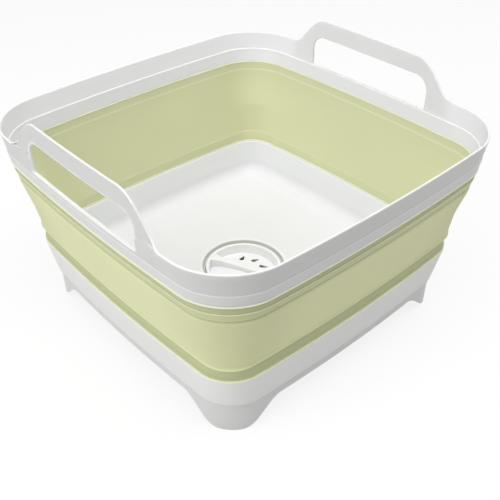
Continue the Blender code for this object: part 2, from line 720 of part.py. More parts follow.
def slots_body():
    """Teardrop slots in a circle, all slanted the same way, none under the crossbar."""
    outline = slot_outline()
    low = dome_z(STRAINER_RADIUS) - CUT_OVERRUN / 2
    high = dome_z(0.0) + CUT_OVERRUN / 2
    body = bmesh.new()
    pitch = 2 * math.pi / SLOT_COUNT
    for number in range(SLOT_COUNT):
        angle = BAR_ANGLE + (number + 1 / 2) * pitch
        middle = Vector((math.cos(angle), math.sin(angle))) * SLOT_CIRCLE_RADIUS
        turn = Matrix.Rotation(angle + SLOT_SLANT, 2)
        points = [turn @ Vector(point) + middle for point in outline]
        low_ring = [body.verts.new((x, y, low)) for x, y in points]
        high_ring = [body.verts.new((x, y, high)) for x, y in points]
        body.faces.new(low_ring)
        body.faces.new(high_ring)
        for place in range(len(points)):
            after = (place + 1) % len(points)
            body.faces.new((low_ring[place], low_ring[after], high_ring[after], high_ring[place]))
    bmesh.ops.recalc_face_normals(body, faces=body.faces)
    return body


def add_strainer(material, carrier):
    strainer = add_piece("strainer_basket", strainer_cup_body(), material, carrier)
    combine(strainer, add_tool("strainer_crossbar", crossbar_body(), material, carrier), "UNION")
    combine(strainer, add_tool("strainer_slots", slots_body(), material, carrier), "DIFFERENCE")
    return strainer


def plug_body():
    """The rubber plug on the strainer's stem: a neck, a sealing disc on the sump's floor and a short cone."""
    bore = STEM_RADIUS + PLUG_BORE_FIT
    low = SUMP_Z + SEAT_GAP
    high = low + PLUG_DISC_THICKNESS
    cone = OUTLET_RADIUS - PLUG_BORE_FIT
    profile = [
        (bore, high + PLUG_NECK_HEIGHT),
        (bore + PLUG_NECK_WALL, high + PLUG_NECK_HEIGHT),
        (bore + PLUG_NECK_WALL, high + EDGE_ROUND),
        (bore + PLUG_NECK_WALL + EDGE_ROUND, high),
        (PLUG_DISC_RADIUS - EDGE_ROUND / 2, high),
        (PLUG_DISC_RADIUS, high - EDGE_ROUND / 2),
        (PLUG_DISC_RADIUS, low),
        (cone, low),
        (cone - PLUG_CONE_DRAFT, low - PLUG_CONE_DEPTH),
        (bore, low - PLUG_CONE_DEPTH),
    ]
    return turned(profile)


def main():
    for old in list(bpy.data.objects):
        bpy.data.objects.remove(old, do_unlink=True)

    white_plastic = make_material("white_plastic", (0.80, 0.80, 0.79), 0.42)
    soft_green = make_material("soft_green", (0.58, 0.61, 0.36), 0.55)
    grey_rubber = make_material("grey_rubber", (0.55, 0.56, 0.54), 0.60)

    tub = add_empty("tub", (0, 0, 0))
    rim_slide = add_empty("rim_slide", (0, 0, SEAM_Z))
    strainer_lift = add_empty("strainer_lift", (0, 0, STRAINER_SEAT_Z))

    add_piece("base_tray", tray_body(), white_plastic, tub)
    add_piece("wall_lower_band", lower_band_body(), soft_green, tub)
    add_piece("wall_panel", panel_body(), soft_green, tub)
    add_piece("wall_upper_band", upper_band_body(), soft_green, rim_slide)
    add_rim(white_plastic, rim_slide)
    add_strainer(white_plastic, strainer_lift)
    add_piece("drain_plug", plug_body(), grey_rubber, strainer_lift)


main()
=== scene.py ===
# %% [markdown]
# # Collapsible camp washbasin
# A square tub of two hard white mouldings, a rim with handles and a base with feet, with a soft green wall
# between them that folds when the rim is pushed down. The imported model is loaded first. It says how large
# every piece is and what it moves with, so everything below is only shaped and finished, never resized.

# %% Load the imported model
import math

import bmesh
import bpy
import numpy as np
from mathutils import Matrix, Vector


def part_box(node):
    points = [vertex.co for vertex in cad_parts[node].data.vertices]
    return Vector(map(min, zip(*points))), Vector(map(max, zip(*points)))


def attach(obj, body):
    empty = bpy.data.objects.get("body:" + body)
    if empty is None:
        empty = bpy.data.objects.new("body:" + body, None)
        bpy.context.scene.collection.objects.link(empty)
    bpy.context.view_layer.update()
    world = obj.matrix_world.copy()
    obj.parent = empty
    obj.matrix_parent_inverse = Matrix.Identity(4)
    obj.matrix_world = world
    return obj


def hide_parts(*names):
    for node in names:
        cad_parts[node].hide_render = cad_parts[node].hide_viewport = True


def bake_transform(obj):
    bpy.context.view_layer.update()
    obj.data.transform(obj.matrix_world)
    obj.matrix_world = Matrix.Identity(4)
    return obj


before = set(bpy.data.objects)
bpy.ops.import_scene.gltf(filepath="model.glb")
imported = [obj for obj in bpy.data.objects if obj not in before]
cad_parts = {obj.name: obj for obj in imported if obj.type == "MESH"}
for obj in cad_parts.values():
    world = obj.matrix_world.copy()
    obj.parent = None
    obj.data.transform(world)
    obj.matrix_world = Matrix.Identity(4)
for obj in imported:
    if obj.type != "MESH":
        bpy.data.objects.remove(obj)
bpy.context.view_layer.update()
bpy.ops.object.select_all(action="DESELECT")
print("nodes:", ", ".join(sorted(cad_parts)))

# %% [markdown]
# ## Sizes
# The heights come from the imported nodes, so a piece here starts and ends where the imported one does. The
# other sizes are the tub's own: its outline, how far each level lies inside the rim's top edge (its offset)
# and how round its corners are there. They are written in millimetres and turned into metres by MM.

# %% Heights of the seams and folds
MM = 0.001
SEAT_GAP = 0.3 * MM
HANDLE_RISE = 30.0 * MM
LEDGE_DROP = 15.9 * MM
JOG_DROP = 18.1 * MM
BASE_BAND_HEIGHT = 30.9 * MM

LIP_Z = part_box("wall_lower_band")[0].z - SEAT_GAP
LOWER_FOLD_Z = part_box("wall_lower_band")[1].z + SEAT_GAP / 2
UPPER_FOLD_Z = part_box("wall_panel")[1].z + SEAT_GAP / 2
PANEL_MIDDLE_Z = (LOWER_FOLD_Z + UPPER_FOLD_Z) / 2
SEAM_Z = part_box("wall_upper_band")[1].z + SEAT_GAP
HANDLE_TOP_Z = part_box("rim_frame")[1].z
RIM_TOP_Z = HANDLE_TOP_Z - HANDLE_RISE
LEDGE_Z = RIM_TOP_Z - LEDGE_DROP
JOG_Z = RIM_TOP_Z - JOG_DROP
STEP_Z = LIP_Z - BASE_BAND_HEIGHT
for label, height in (("step", STEP_Z), ("lip", LIP_Z), ("lower fold", LOWER_FOLD_Z),
                      ("upper fold", UPPER_FOLD_Z), ("seam", SEAM_Z), ("rim top", RIM_TOP_Z)):
    print(f"{label}: {height / MM:.1f} mm")

# %% Outline, offsets and corner radii
WIDTH = 315.0 * MM
DEPTH = 314.0 * MM
SIDE_BOW_SHARE = 0.039
RIM_CORNER_RADIUS = 47.5 * MM
LIP_CORNER_RADIUS = 29.0 * MM
LIP_OFFSET = 18.5 * MM
STEP_OFFSET = 23.4 * MM

# The outer skin as (height, offset, corner radius), from the lowest level up
SOFT_LEVELS = ((LIP_Z, 19.9 * MM, 27.6 * MM), (LOWER_FOLD_Z, 19.4 * MM, 23.0 * MM),
               (PANEL_MIDDLE_Z, 13.25 * MM, 36.5 * MM), (UPPER_FOLD_Z, 7.1 * MM, 37.5 * MM),
               (SEAM_Z, 5.2 * MM, 41.0 * MM))
WALL_LEVELS = (*SOFT_LEVELS, (JOG_Z, 3.4 * MM, 41.4 * MM), (RIM_TOP_Z, 0.0, RIM_CORNER_RADIUS))
SKIRT_LEVELS = ((STEP_Z - 0.8 * MM, 24.2 * MM, 32.5 * MM), (STEP_Z, STEP_OFFSET, 30.0 * MM),
                (LIP_Z, LIP_OFFSET, LIP_CORNER_RADIUS))


def skin_at(height, levels):
    """Offset and corner radius of the outer skin at a height, or at many."""
    heights, offsets, radii = (np.array(column) for column in zip(*levels))
    return np.interp(height, heights, offsets), np.interp(height, heights, radii)


def wall_radius(offset, height):
    """Corner radius in the rim and the soft wall: the skin's, less the depth inside it."""
    skin_offset, skin_radius = skin_at(height, WALL_LEVELS)
    return skin_radius - (offset - skin_offset)


print("soft wall's offset at the folds:", skin_at(np.array([LOWER_FOLD_Z, UPPER_FOLD_Z]), WALL_LEVELS)[0])

# %% Shares of a way, and arcs
TOUCHING = 0.0001 * MM
FULL_TURN = 2 * math.pi
HALF_TURN = math.pi
QUARTER_TURN = math.pi / 2


def share_of(value, start, end):
    """How far a value has come on the way from a start to an end, from 0 to 1."""
    return np.clip((value - start) / (end - start), 0.0, 1.0)


def smooth_step(share):
    """The same share, starting and ending gently."""
    share = np.clip(share, 0.0, 1.0)
    return share * share * (3.0 - 2.0 * share)


def mix(first, second, share):
    return first + (second - first) * share


def arc(middle, radius, start, end, steps):
    """Points along an arc about a middle, from one angle to another."""
    angles = [mix(start, end, step / steps) for step in range(steps + 1)]
    return [(middle[0] + radius * math.cos(angle), middle[1] + radius * math.sin(angle)) for angle in angles]


# %% [markdown]
# ## Camera
# The photograph was taken from the front left and well above the rim. A camera placed by its angle, its
# distance and the point it aims at is easy to read and to change, and needs no shift of the lens.

# %% Camera at the photograph's place
CAMERA_AZIMUTH = math.radians(-42.135)
CAMERA_ELEVATION = math.radians(37.232)
CAMERA_DISTANCE = 605.0 * MM
CAMERA_AIM = Vector((-34.33, -46.97, 90.0)) * MM
CAMERA_LENS = 53.71
CAMERA_NEAREST = 10.0 * MM


def toward(azimuth, elevation):
    """The direction from the tub to something seen at an azimuth and an elevation."""
    level = math.cos(elevation)
    return Vector((math.sin(azimuth) * level, -math.cos(azimuth) * level, math.sin(elevation)))


def aim(thing, place, target):
    """Put a camera or lamp at a place, looking at a target."""
    thing.location = place
    thing.rotation_euler = (target - place).to_track_quat("-Z", "Y").to_euler()


def add_object(name, data):
    made = bpy.data.objects.new(name, data)
    bpy.context.scene.collection.objects.link(made)
    return made


camera = add_object("camera", bpy.data.cameras.new("camera"))
camera.data.lens = CAMERA_LENS
camera.data.clip_start = CAMERA_NEAREST
aim(camera, CAMERA_AIM + toward(CAMERA_AZIMUTH, CAMERA_ELEVATION) * CAMERA_DISTANCE, CAMERA_AIM)
bpy.context.scene.camera = camera
bpy.context.scene.view_settings.view_transform = "Standard"
print("camera at", [round(value, 3) for value in camera.location])

# %% [markdown]
# ## Floor and light
# The photograph is a studio shot on white: soft light from above and from the left, the right side in mild
# shade, hardly any shadow. A pale floor that only the camera sees as white keeps the soft shadow under the
# feet and still lights the tub from below like a real sheet of paper. A brighter world would also give a
# white ground, but it would wash out the shading, so the world is dim and four large lamps do the work.

# %% Helpers for nodes
WHITE = (1.0, 1.0, 1.0, 1.0)


def add_node(tree, kind, inputs=None, **settings):
    """Add a node to a tree. An input is a plain value or another node's output."""
    made = tree.nodes.new(kind)
    for name, value in settings.items():
        setattr(made, name, value)
    for key, value in (inputs or {}).items():
        if isinstance(value, bpy.types.NodeSocket):
            tree.links.new(value, made.inputs[key])
        else:
            made.inputs[key].default_value = value
    return made


def math_node(tree, operation, *values, clamp=False):
    return add_node(tree, "ShaderNodeMath", dict(enumerate(values)), operation=operation,
                    use_clamp=clamp).outputs[0]


def mix_shaders(tree, share, first, second):
    return add_node(tree, "ShaderNodeMixShader", {0: share, 1: first, 2: second}).outputs[0]


def srgb(red, green, blue):
    """A colour given as it reads on screen, from 0 to 255, as the linear values that shaders take."""
    linear = [((value / 255 + 0.055) / 1.055) ** 2.4 if value > 10 else value / 255 / 12.92
              for value in (red, green, blue)]
    return (*linear, 1.0)


def seen_directly(tree):
    """1 for what the camera sees, also in a reflection or through something clear, and 0 for light."""
    path = add_node(tree, "ShaderNodeLightPath").outputs
    seen = math_node(tree, "MAXIMUM", path["Is Camera Ray"], path["Is Glossy Ray"])
    return math_node(tree, "MAXIMUM", seen, path["Is Transmission Ray"])


# %% Floor
FLOOR_RADIUS = 4.0
FLOOR_SIDES = 96
FLOOR_COLOUR = srgb(232, 232, 233)
FLOOR_WHITE = 1.06
FLOOR_WHITE_SHARE = 0.8

bpy.ops.mesh.primitive_circle_add(vertices=FLOOR_SIDES, radius=FLOOR_RADIUS, fill_type="NGON")
floor = bpy.context.object
floor.name = "studio_floor"
paper = bpy.data.materials.new("studio_paper")
paper.use_nodes = True
nodes = paper.node_tree
nodes.nodes.clear()
sheet = add_node(nodes, "ShaderNodeBsdfDiffuse", {"Color": FLOOR_COLOUR}).outputs[0]
glow = add_node(nodes, "ShaderNodeEmission", {"Color": WHITE, "Strength": FLOOR_WHITE}).outputs[0]
lifted = mix_shaders(nodes, FLOOR_WHITE_SHARE, sheet, glow)
surface = mix_shaders(nodes, seen_directly(nodes), sheet, lifted)
add_node(nodes, "ShaderNodeOutputMaterial", {"Surface": surface})
floor.data.materials.append(paper)
print("floor radius", FLOOR_RADIUS, "m")

# %% World
WORLD_STRENGTH = 0.12
WORLD_COLOUR = (0.985, 0.985, 0.98, 1.0)

world = bpy.data.worlds.new("studio")
world.use_nodes = True
nodes = world.node_tree
nodes.nodes.clear()
soft_sky, white_back = (
    add_node(nodes, "ShaderNodeBackground", {"Color": colour, "Strength": strength}).outputs[0]
    for colour, strength in ((WORLD_COLOUR, WORLD_STRENGTH), (WHITE, 1.0)))
surface = mix_shaders(nodes, seen_directly(nodes), soft_sky, white_back)
add_node(nodes, "ShaderNodeOutputWorld", {"Surface": surface})
bpy.context.scene.world = world
print("world light", WORLD_STRENGTH)

# %% Lamps
LAMP_AIM_Z = 90.0 * MM
# Name, azimuth and elevation in degrees, distance and size in metres, power in watts
LAMPS = (("top_softbox", -20, 82, 1.6, 1.5, 20.0),
         ("left_softbox", -95, 38, 1.7, 1.1, 10.6),
         ("low_left_softbox", -80, 12, 1.7, 1.1, 3.0),
         ("right_softbox", 60, 35, 1.7, 1.1, 5.3))


def add_lamp(name, azimuth, elevation, distance, size, power):
    """A square soft lamp that shines at the middle of the tub."""
    light = bpy.data.lights.new(name, "AREA")
    light.shape = "SQUARE"
    light.size = size
    light.energy = power
    target = Vector((0, 0, LAMP_AIM_Z))
    place = target + toward(math.radians(azimuth), math.radians(elevation)) * distance
    aim(add_object(name, light), place, target)


for lamp_row in LAMPS:
    add_lamp(*lamp_row)

# %% [markdown]
# ## Surface effects
# Moulded plastic is never one flat colour. It has a fine spark-eroded grain, a slow drift in tone and gloss,
# edges that are paler, partly from rubbing and partly as a painted highlight, and creases that are darkened
# in specks. Each effect is a node group, built once and placed in each material with its own values. The edge
# and crease masks are attributes that are worked out from the finished mesh, so they follow the real shape.

# %% Helpers for node groups


def new_group(name, inputs, outputs):
    """An empty shader node group. Each input has a kind, or a number, which a material may set anew."""
    group = bpy.data.node_groups.new(name, "ShaderNodeTree")
    for label, value in inputs.items():
        kind = value if isinstance(value, str) else "Float"
        socket = group.interface.new_socket(label, in_out="INPUT", socket_type=f"NodeSocket{kind}")
        if kind == "Float":
            socket.default_value = value
    for label, kind in outputs.items():
        group.interface.new_socket(label, in_out="OUTPUT", socket_type=f"NodeSocket{kind}")
    return group, group.nodes.new("NodeGroupInput").outputs


def put_out(group, **values):
    """Send values out of a group by the names of its outputs."""
    result = group.nodes.new("NodeGroupOutput")
    for name, value in values.items():
        group.links.new(value, result.inputs[name])
    print("group:", group.name)


def noise(tree, place, scale, detail=2.0):
    inputs = {"Vector": place, "Scale": scale, "Detail": detail}
    return add_node(tree, "ShaderNodeTexNoise", inputs).outputs["Fac"]


def drift(tree, place, scale, detail=2.0, middle=0.5):
    """A noise that swings about zero, because its own middle is taken off."""
    return math_node(tree, "SUBTRACT", noise(tree, place, scale, detail), middle)


def remap(tree, value, low, high, least, most):
    """Turn the range from low to high into the range from least to most."""
    inputs = {"Value": value, 1: low, 2: high, 3: least, 4: most}
    return add_node(tree, "ShaderNodeMapRange", inputs).outputs[0]


def mix_colours(tree, share, first, second):
    return add_node(tree, "ShaderNodeMix", {0: share, 6: first, 7: second}, data_type="RGBA").outputs[2]


# %% Grain
grain_group, given = new_group(
    "moulded_grain",
    {"Place": "Vector", "Grain Scale": 2200.0, "Ripple Scale": 130.0, "Ripple Share": 0.5},
    {"Height": "Float"})
fine = noise(grain_group, given["Place"], given["Grain Scale"], detail=3.0)
coarse = noise(grain_group, given["Place"], given["Ripple Scale"])
both = add_node(grain_group, "ShaderNodeMix", {0: given["Ripple Share"], 2: fine, 3: coarse})
put_out(grain_group, Height=both.outputs[0])

# %% Drift in tone and gloss
TONE_SCALE = 14.0
GLOSS_SCALE = 55.0

tone_group, given = new_group(
    "tone_drift",
    {"Place": "Vector", "Colour": "Color", "Spread": 0.04, "Roughness": 0.4, "Roughness Spread": 0.1},
    {"Colour": "Color", "Roughness": "Float"})
slow = drift(tone_group, given["Place"], TONE_SCALE)
shift = math_node(tone_group, "MULTIPLY_ADD", slow, given["Spread"], 1.0)
scaled = add_node(tone_group, "ShaderNodeVectorMath", {0: given["Colour"], "Scale": shift}, operation="SCALE")
patchy = drift(tone_group, given["Place"], GLOSS_SCALE, detail=5.0)
gloss = math_node(tone_group, "MULTIPLY_ADD", patchy, given["Roughness Spread"], given["Roughness"])
put_out(tone_group, Colour=scaled.outputs[0], Roughness=gloss)

# %% Rubbed edges, with a painted highlight
RUB_SCALE = 90.0

edge_wear_and_highlight_group, given = new_group(
    "rubbed_and_highlit_edges",
    {"Place": "Vector", "Colour": "Color", "Edge": 0.0, "Edge Colour": "Color", "Amount": 0.5},
    {"Colour": "Color"})
patches = noise(edge_wear_and_highlight_group, given["Place"], RUB_SCALE, detail=3.0)
broken = remap(edge_wear_and_highlight_group, patches, low=0.3, high=0.6, least=0.7, most=1.0)
# The edge colour is partly wear and partly a painted highlight along the edges.
strength = math_node(edge_wear_and_highlight_group, "MULTIPLY", given["Edge"], broken)
edge_wear_and_highlight = math_node(edge_wear_and_highlight_group, "MULTIPLY", strength, given["Amount"], clamp=True)
put_out(edge_wear_and_highlight_group, Colour=mix_colours(edge_wear_and_highlight_group, edge_wear_and_highlight, given["Colour"], given["Edge Colour"]))

# %% Darker creases, in specks
CREASE_SPECK_SCALE = 420.0
CREASE_ROUGHENING = 0.3

crease_tone_group, given = new_group(
    "darker_creases",
    {"Place": "Vector", "Colour": "Color", "Roughness": 0.4, "Hollow": 0.0, "Crease Colour": "Color",
     "Amount": 0.3},
    {"Colour": "Color", "Roughness": "Float"})
# The creases are darkened and made a little rougher, in specks.
specks = noise(crease_tone_group, given["Place"], CREASE_SPECK_SCALE, detail=4.0)
speckle = remap(crease_tone_group, specks, low=0.35, high=0.7, least=0.3, most=1.0)
in_creases = math_node(crease_tone_group, "MULTIPLY", given["Hollow"], speckle)
cover = math_node(crease_tone_group, "MULTIPLY", in_creases, given["Amount"], clamp=True)
put_out(crease_tone_group, Colour=mix_colours(crease_tone_group, cover, given["Colour"], given["Crease Colour"]),
        Roughness=math_node(crease_tone_group, "MULTIPLY_ADD", cover, CREASE_ROUGHENING, given["Roughness"]))

# %% [markdown]
# ## Materials
# Three finishes: the satin white of moulded polypropylene, the matt sage of the soft folding wall, and the
# grey rubber of the plug. One function makes all three, because they are all moulded and differ in values
# only. The soft wall moves when the tub folds, so its patterns read a "rest_place" attribute, the place where
# each point lies on the open tub. The rigid pieces use Object coordinates.

# %% A moulded finish


def add_group(tree, group, inputs):
    return add_node(tree, "ShaderNodeGroup", inputs, node_tree=group).outputs


def attribute(tree, name, output="Fac"):
    return add_node(tree, "ShaderNodeAttribute", attribute_name=name).outputs[output]


def moulded(name, colour, roughness, edge, crease_tone, grain, place=None, tints=(), own=None):
    """A moulded surface with tone drift, paler edges that are partly wear and partly a painted highlight,
    creases darkened in specks and a fine grain. Edge and crease tone are each a colour and an amount, and
    grain is a scale and a depth. Each tint is an attribute and the colour that the surface has where it is 1;
    the tints paint light and shade. Own holds values for the shader's own sockets."""
    material = bpy.data.materials.new(name)
    material.use_nodes = True
    tree = material.node_tree
    own_place = add_node(tree, "ShaderNodeTexCoord").outputs["Object"]
    where = attribute(tree, place, "Vector") if place else own_place
    for mask, tint in tints:
        colour = mix_colours(tree, attribute(tree, mask), colour, tint)
    tone = add_group(tree, tone_group, {"Place": where, "Colour": colour, "Roughness": roughness})
    worn_and_highlit = add_group(tree, edge_wear_and_highlight_group, {
        "Place": where, "Colour": tone["Colour"],
        "Edge": attribute(tree, "edge"), "Edge Colour": edge[0], "Amount": edge[1]})
    with_crease_tone = add_group(tree, crease_tone_group, {
        "Place": where, "Colour": worn_and_highlit["Colour"], "Roughness": tone["Roughness"],
        "Hollow": attribute(tree, "hollow"), "Crease Colour": crease_tone[0], "Amount": crease_tone[1]})
    height = add_group(tree, grain_group, {"Place": where, "Grain Scale": grain[0]})["Height"]
    bump = add_node(tree, "ShaderNodeBump", {"Height": height, "Distance": grain[1], "Strength": 1.0})
    shader = tree.nodes["Principled BSDF"]
    tree.links.new(with_crease_tone["Colour"], shader.inputs["Base Color"])
    tree.links.new(with_crease_tone["Roughness"], shader.inputs["Roughness"])
    tree.links.new(bump.outputs[0], shader.inputs["Normal"])
    for socket, value in (own or {}).items():
        shader.inputs[socket].default_value = value
    print("material:", name)
    return material


# %% The three finishes
# The three tints paint light and shade into the white: a painted shade on faces that lie in shade, a painted
# light on lit faces and edge highlights, and a cooler painted light inside the bowl. Its edge colour is
# partly wear and partly a painted highlight.
white_plastic = moulded(
    "satin_white_polypropylene", colour=srgb(232, 232, 231), roughness=0.40,
    edge=(srgb(253, 253, 252), 0.65), crease_tone=(srgb(190, 188, 180), 0.35), grain=(2200.0, 0.04 * MM),
    tints=(("painted_shade", srgb(205, 205, 204)), ("painted_light", srgb(250, 250, 249)),
           ("painted_cool_light", srgb(236, 237, 246))),
    own={"Specular IOR Level": 0.25})
# The four tints paint light and shade into the green: a painted light on the middle of the sides with a
# painted highlight on the roll, a painted shade over the inner face and on both bands, and a painted
# highlight on the seam beads and the ridge. Its edge colour is partly wear and partly a painted highlight.
soft_green = moulded(
    "matt_sage_soft_wall", colour=srgb(221, 223, 174), roughness=0.60,
    edge=(srgb(238, 242, 202), 0.5), crease_tone=(srgb(165, 166, 125), 0.45), grain=(1500.0, 0.06 * MM),
    place="rest_place",
    tints=(("painted_side_light", srgb(236, 239, 187)), ("inner_face", srgb(218, 220, 178)),
           ("painted_band_shade", srgb(202, 206, 160)), ("bead", srgb(254, 255, 240))),
    own={"Sheen Weight": 0.12, "Specular IOR Level": 0.3})
grey_rubber = moulded(
    "grey_seal_rubber", colour=srgb(148, 150, 147), roughness=0.65,
    edge=(srgb(178, 180, 176), 0.5), crease_tone=(srgb(120, 120, 115), 0.4), grain=(1800.0, 0.06 * MM))

# %% [markdown]
# ## From a section to a moulding
# Every moulding of this tub has one section all the way round. By hand one would draw that section as a ring
# of points, round its corners with a vertex bevel, spin it about the tub's axis and then pull the round tub
# square. That is what these helpers do: `draw_section` draws and rounds, `spin_section` turns it, and
# `settle` moves each point from its circle onto the rounded square outline, at the same offset and height.

# %% Draw a section
ROUND_SEGMENTS = 4


def select_vertex(mesh, spot):
    """Select in edit mode only the vertex at a spot."""
    bpy.ops.mesh.select_mode(type="VERT")
    bpy.ops.mesh.select_all(action="DESELECT")
    body = bmesh.from_edit_mesh(mesh)
    for vertex in body.verts:
        vertex.select = (vertex.co - spot).length < TOUCHING
    body.select_flush_mode()
    bmesh.update_edit_mesh(mesh)


def select_edges(mesh, chosen):
    """Select in edit mode the edges that are chosen, and say how many there are."""
    body = bmesh.from_edit_mesh(mesh)
    for edge in body.edges:
        edge.select = chosen(edge)
    bmesh.update_edit_mesh(mesh)
    return sum(edge.select for edge in body.edges)


def divide_long_edges(mesh, spacing):
    """Divide every edge that is longer than the spacing into equal parts, the shorter edges first."""
    bpy.ops.mesh.select_mode(type="EDGE")
    longest = max(edge.calc_length() for edge in bmesh.from_edit_mesh(mesh).edges)
    for parts in range(2, math.ceil(longest / spacing) + 1):
        if select_edges(mesh, lambda edge: math.ceil(edge.calc_length() / spacing) == parts):
            bpy.ops.mesh.subdivide(number_cuts=parts - 1)


def open_at_axis(mesh):
    """Remove the section's edges that lie on the axis, which would become a line inside the solid."""
    body = bmesh.from_edit_mesh(mesh)
    axis_edges = [edge for edge in body.edges if all(vertex.co.x < TOUCHING for vertex in edge.verts)]
    bmesh.ops.delete(body, geom=axis_edges, context="EDGES")
    bmesh.update_edit_mesh(mesh)


def draw_section(name, corners, spacing):
    """Draw a closed section in the XZ plane from its corners, each a distance from the axis, a height and a
    round in millimetres. Round each corner and divide what is longer than the spacing."""
    bpy.ops.mesh.primitive_circle_add(vertices=len(corners), radius=1.0)
    piece = bpy.context.object
    piece.name = name
    for vertex, (distance, height, _) in zip(piece.data.vertices, corners):
        vertex.co = (distance, 0.0, height)
    bpy.ops.object.mode_set(mode="EDIT")
    for distance, height, amount in corners:
        if amount:
            select_vertex(piece.data, Vector((distance, 0.0, height)))
            bpy.ops.mesh.bevel(offset_type="OFFSET", offset=amount * MM, segments=ROUND_SEGMENTS,
                               affect="VERTICES")
    divide_long_edges(piece.data, spacing)
    open_at_axis(piece.data)
    bpy.ops.object.mode_set(mode="OBJECT")
    print(name, "section of", len(piece.data.vertices), "points")
    return piece


# %% Spin a section
SIDE_STEPS = 40
CORNER_STEPS = 20
QUARTER = 2 * SIDE_STEPS + CORNER_STEPS
COLUMNS = 4 * QUARTER
MERGE_DISTANCE = 0.002 * MM


def choose(piece):
    """Make a piece the only selected object and the active one."""
    bpy.ops.object.select_all(action="DESELECT")
    piece.select_set(True)
    bpy.context.view_layer.objects.active = piece


def spin_section(name, corners, spacing, steps):
    """Draw a section and turn it once about the tub's axis into a closed skin with its faces pointing out.
    The spin operator grows slow over hundreds of steps, so a Screw modifier that doesn't climb turns it."""
    piece = draw_section(name, corners, spacing)
    choose(piece)
    turning = piece.modifiers.new("spin", "SCREW")
    turning.axis = "Z"
    turning.angle = FULL_TURN
    turning.screw_offset = 0.0
    turning.steps = steps
    turning.render_steps = steps
    turning.use_merge_vertices = True
    turning.merge_threshold = MERGE_DISTANCE
    bpy.ops.object.modifier_apply(modifier=turning.name)
    bpy.ops.object.mode_set(mode="EDIT")
    bpy.ops.mesh.select_all(action="SELECT")
    bpy.ops.mesh.remove_doubles(threshold=MERGE_DISTANCE)
    bpy.ops.mesh.normals_make_consistent(inside=False)
    bpy.ops.object.mode_set(mode="OBJECT")
    print(name, "spun into", len(piece.data.vertices), "points")
    return piece


print("columns round the tub:", COLUMNS)

# %% Settle a spun skin on the outline


def outline(offset, station, radius):
    """Places (x, y) on the tub's outline, and how far each lies along it from the middle of its X side.
    Stations count round the tub from the middle of the +X side."""
    quarter, place = np.divmod(station, QUARTER)
    place = np.where(quarter % 2 == 0, place, QUARTER - place)
    on_x_side = share_of(place, 0, SIDE_STEPS)
    round_corner = share_of(place, SIDE_STEPS, SIDE_STEPS + CORNER_STEPS)
    on_y_side = 1.0 - share_of(place, SIDE_STEPS + CORNER_STEPS, QUARTER)
    half_x = WIDTH / 2 - offset
    half_y = DEPTH / 2 - offset
    x = on_y_side * (half_x - radius) + radius * np.cos(round_corner * QUARTER_TURN)
    y = on_x_side * (half_y - radius) + radius * np.sin(round_corner * QUARTER_TURN)
    reach = (on_x_side * (half_y - radius) + round_corner * radius * QUARTER_TURN
             + (1.0 - on_y_side) * (half_x - radius))
    bowed_x = x * (1.0 - SIDE_BOW_SHARE * (y / half_y) ** 2)
    bowed_y = y * (1.0 - SIDE_BOW_SHARE * (x / half_x) ** 2)
    sign_x = np.where((quarter == 0) | (quarter == 3), 1.0, -1.0)
    sign_y = np.where(quarter < 2, 1.0, -1.0)
    return bowed_x * sign_x, bowed_y * sign_y, reach


def read_values(items, name, width=1, kind=float):
    """One number, or one row of numbers, for each item."""
    values = np.empty(len(items) * width, kind)
    items.foreach_get(name, values)
    return values.reshape(-1, width) if width > 1 else values


def read_points(piece):
    return read_values(piece.data.vertices, "co", 3)


def write_points(piece, points):
    piece.data.vertices.foreach_set("co", points.ravel())
    piece.data.update()


def spun_place(points):
    """Offset, height and station of each point of a spun skin."""
    distance = np.hypot(points[:, 0], points[:, 1])
    turn = np.arctan2(points[:, 1], points[:, 0]) / FULL_TURN
    return WIDTH / 2 - distance, points[:, 2].copy(), np.rint(turn * COLUMNS).astype(int) % COLUMNS


def settle(piece, radius_rule, reshape):
    """Move each point of a spun skin onto the outline. Reshape first changes its offset and height."""
    points = read_points(piece)
    offset, height, station = spun_place(points)
    radius = radius_rule(offset, height)
    offset, height = reshape(offset, height, station)
    points[:, 0], points[:, 1], _ = outline(offset, station, radius)
    points[:, 2] = height
    write_points(piece, points)
    print(piece.name, "reaches", round(points[:, 0].max() / MM, 1), "mm to the side")


# %% Mark edges and creases
EDGE_RADIUS = 1.6 * MM
LEAST_TIGHTNESS = 0.25
SMOOTH_ANGLE = math.radians(38.0)


def store(mesh, name, values, kind="FLOAT"):
    """Keep one value or one vector for each point as a mesh attribute."""
    made = mesh.attributes.get(name) or mesh.attributes.new(name, kind, "POINT")
    field = "vector" if kind == "FLOAT_VECTOR" else "value"
    made.data.foreach_set(field, np.ravel(values).astype(np.float32))


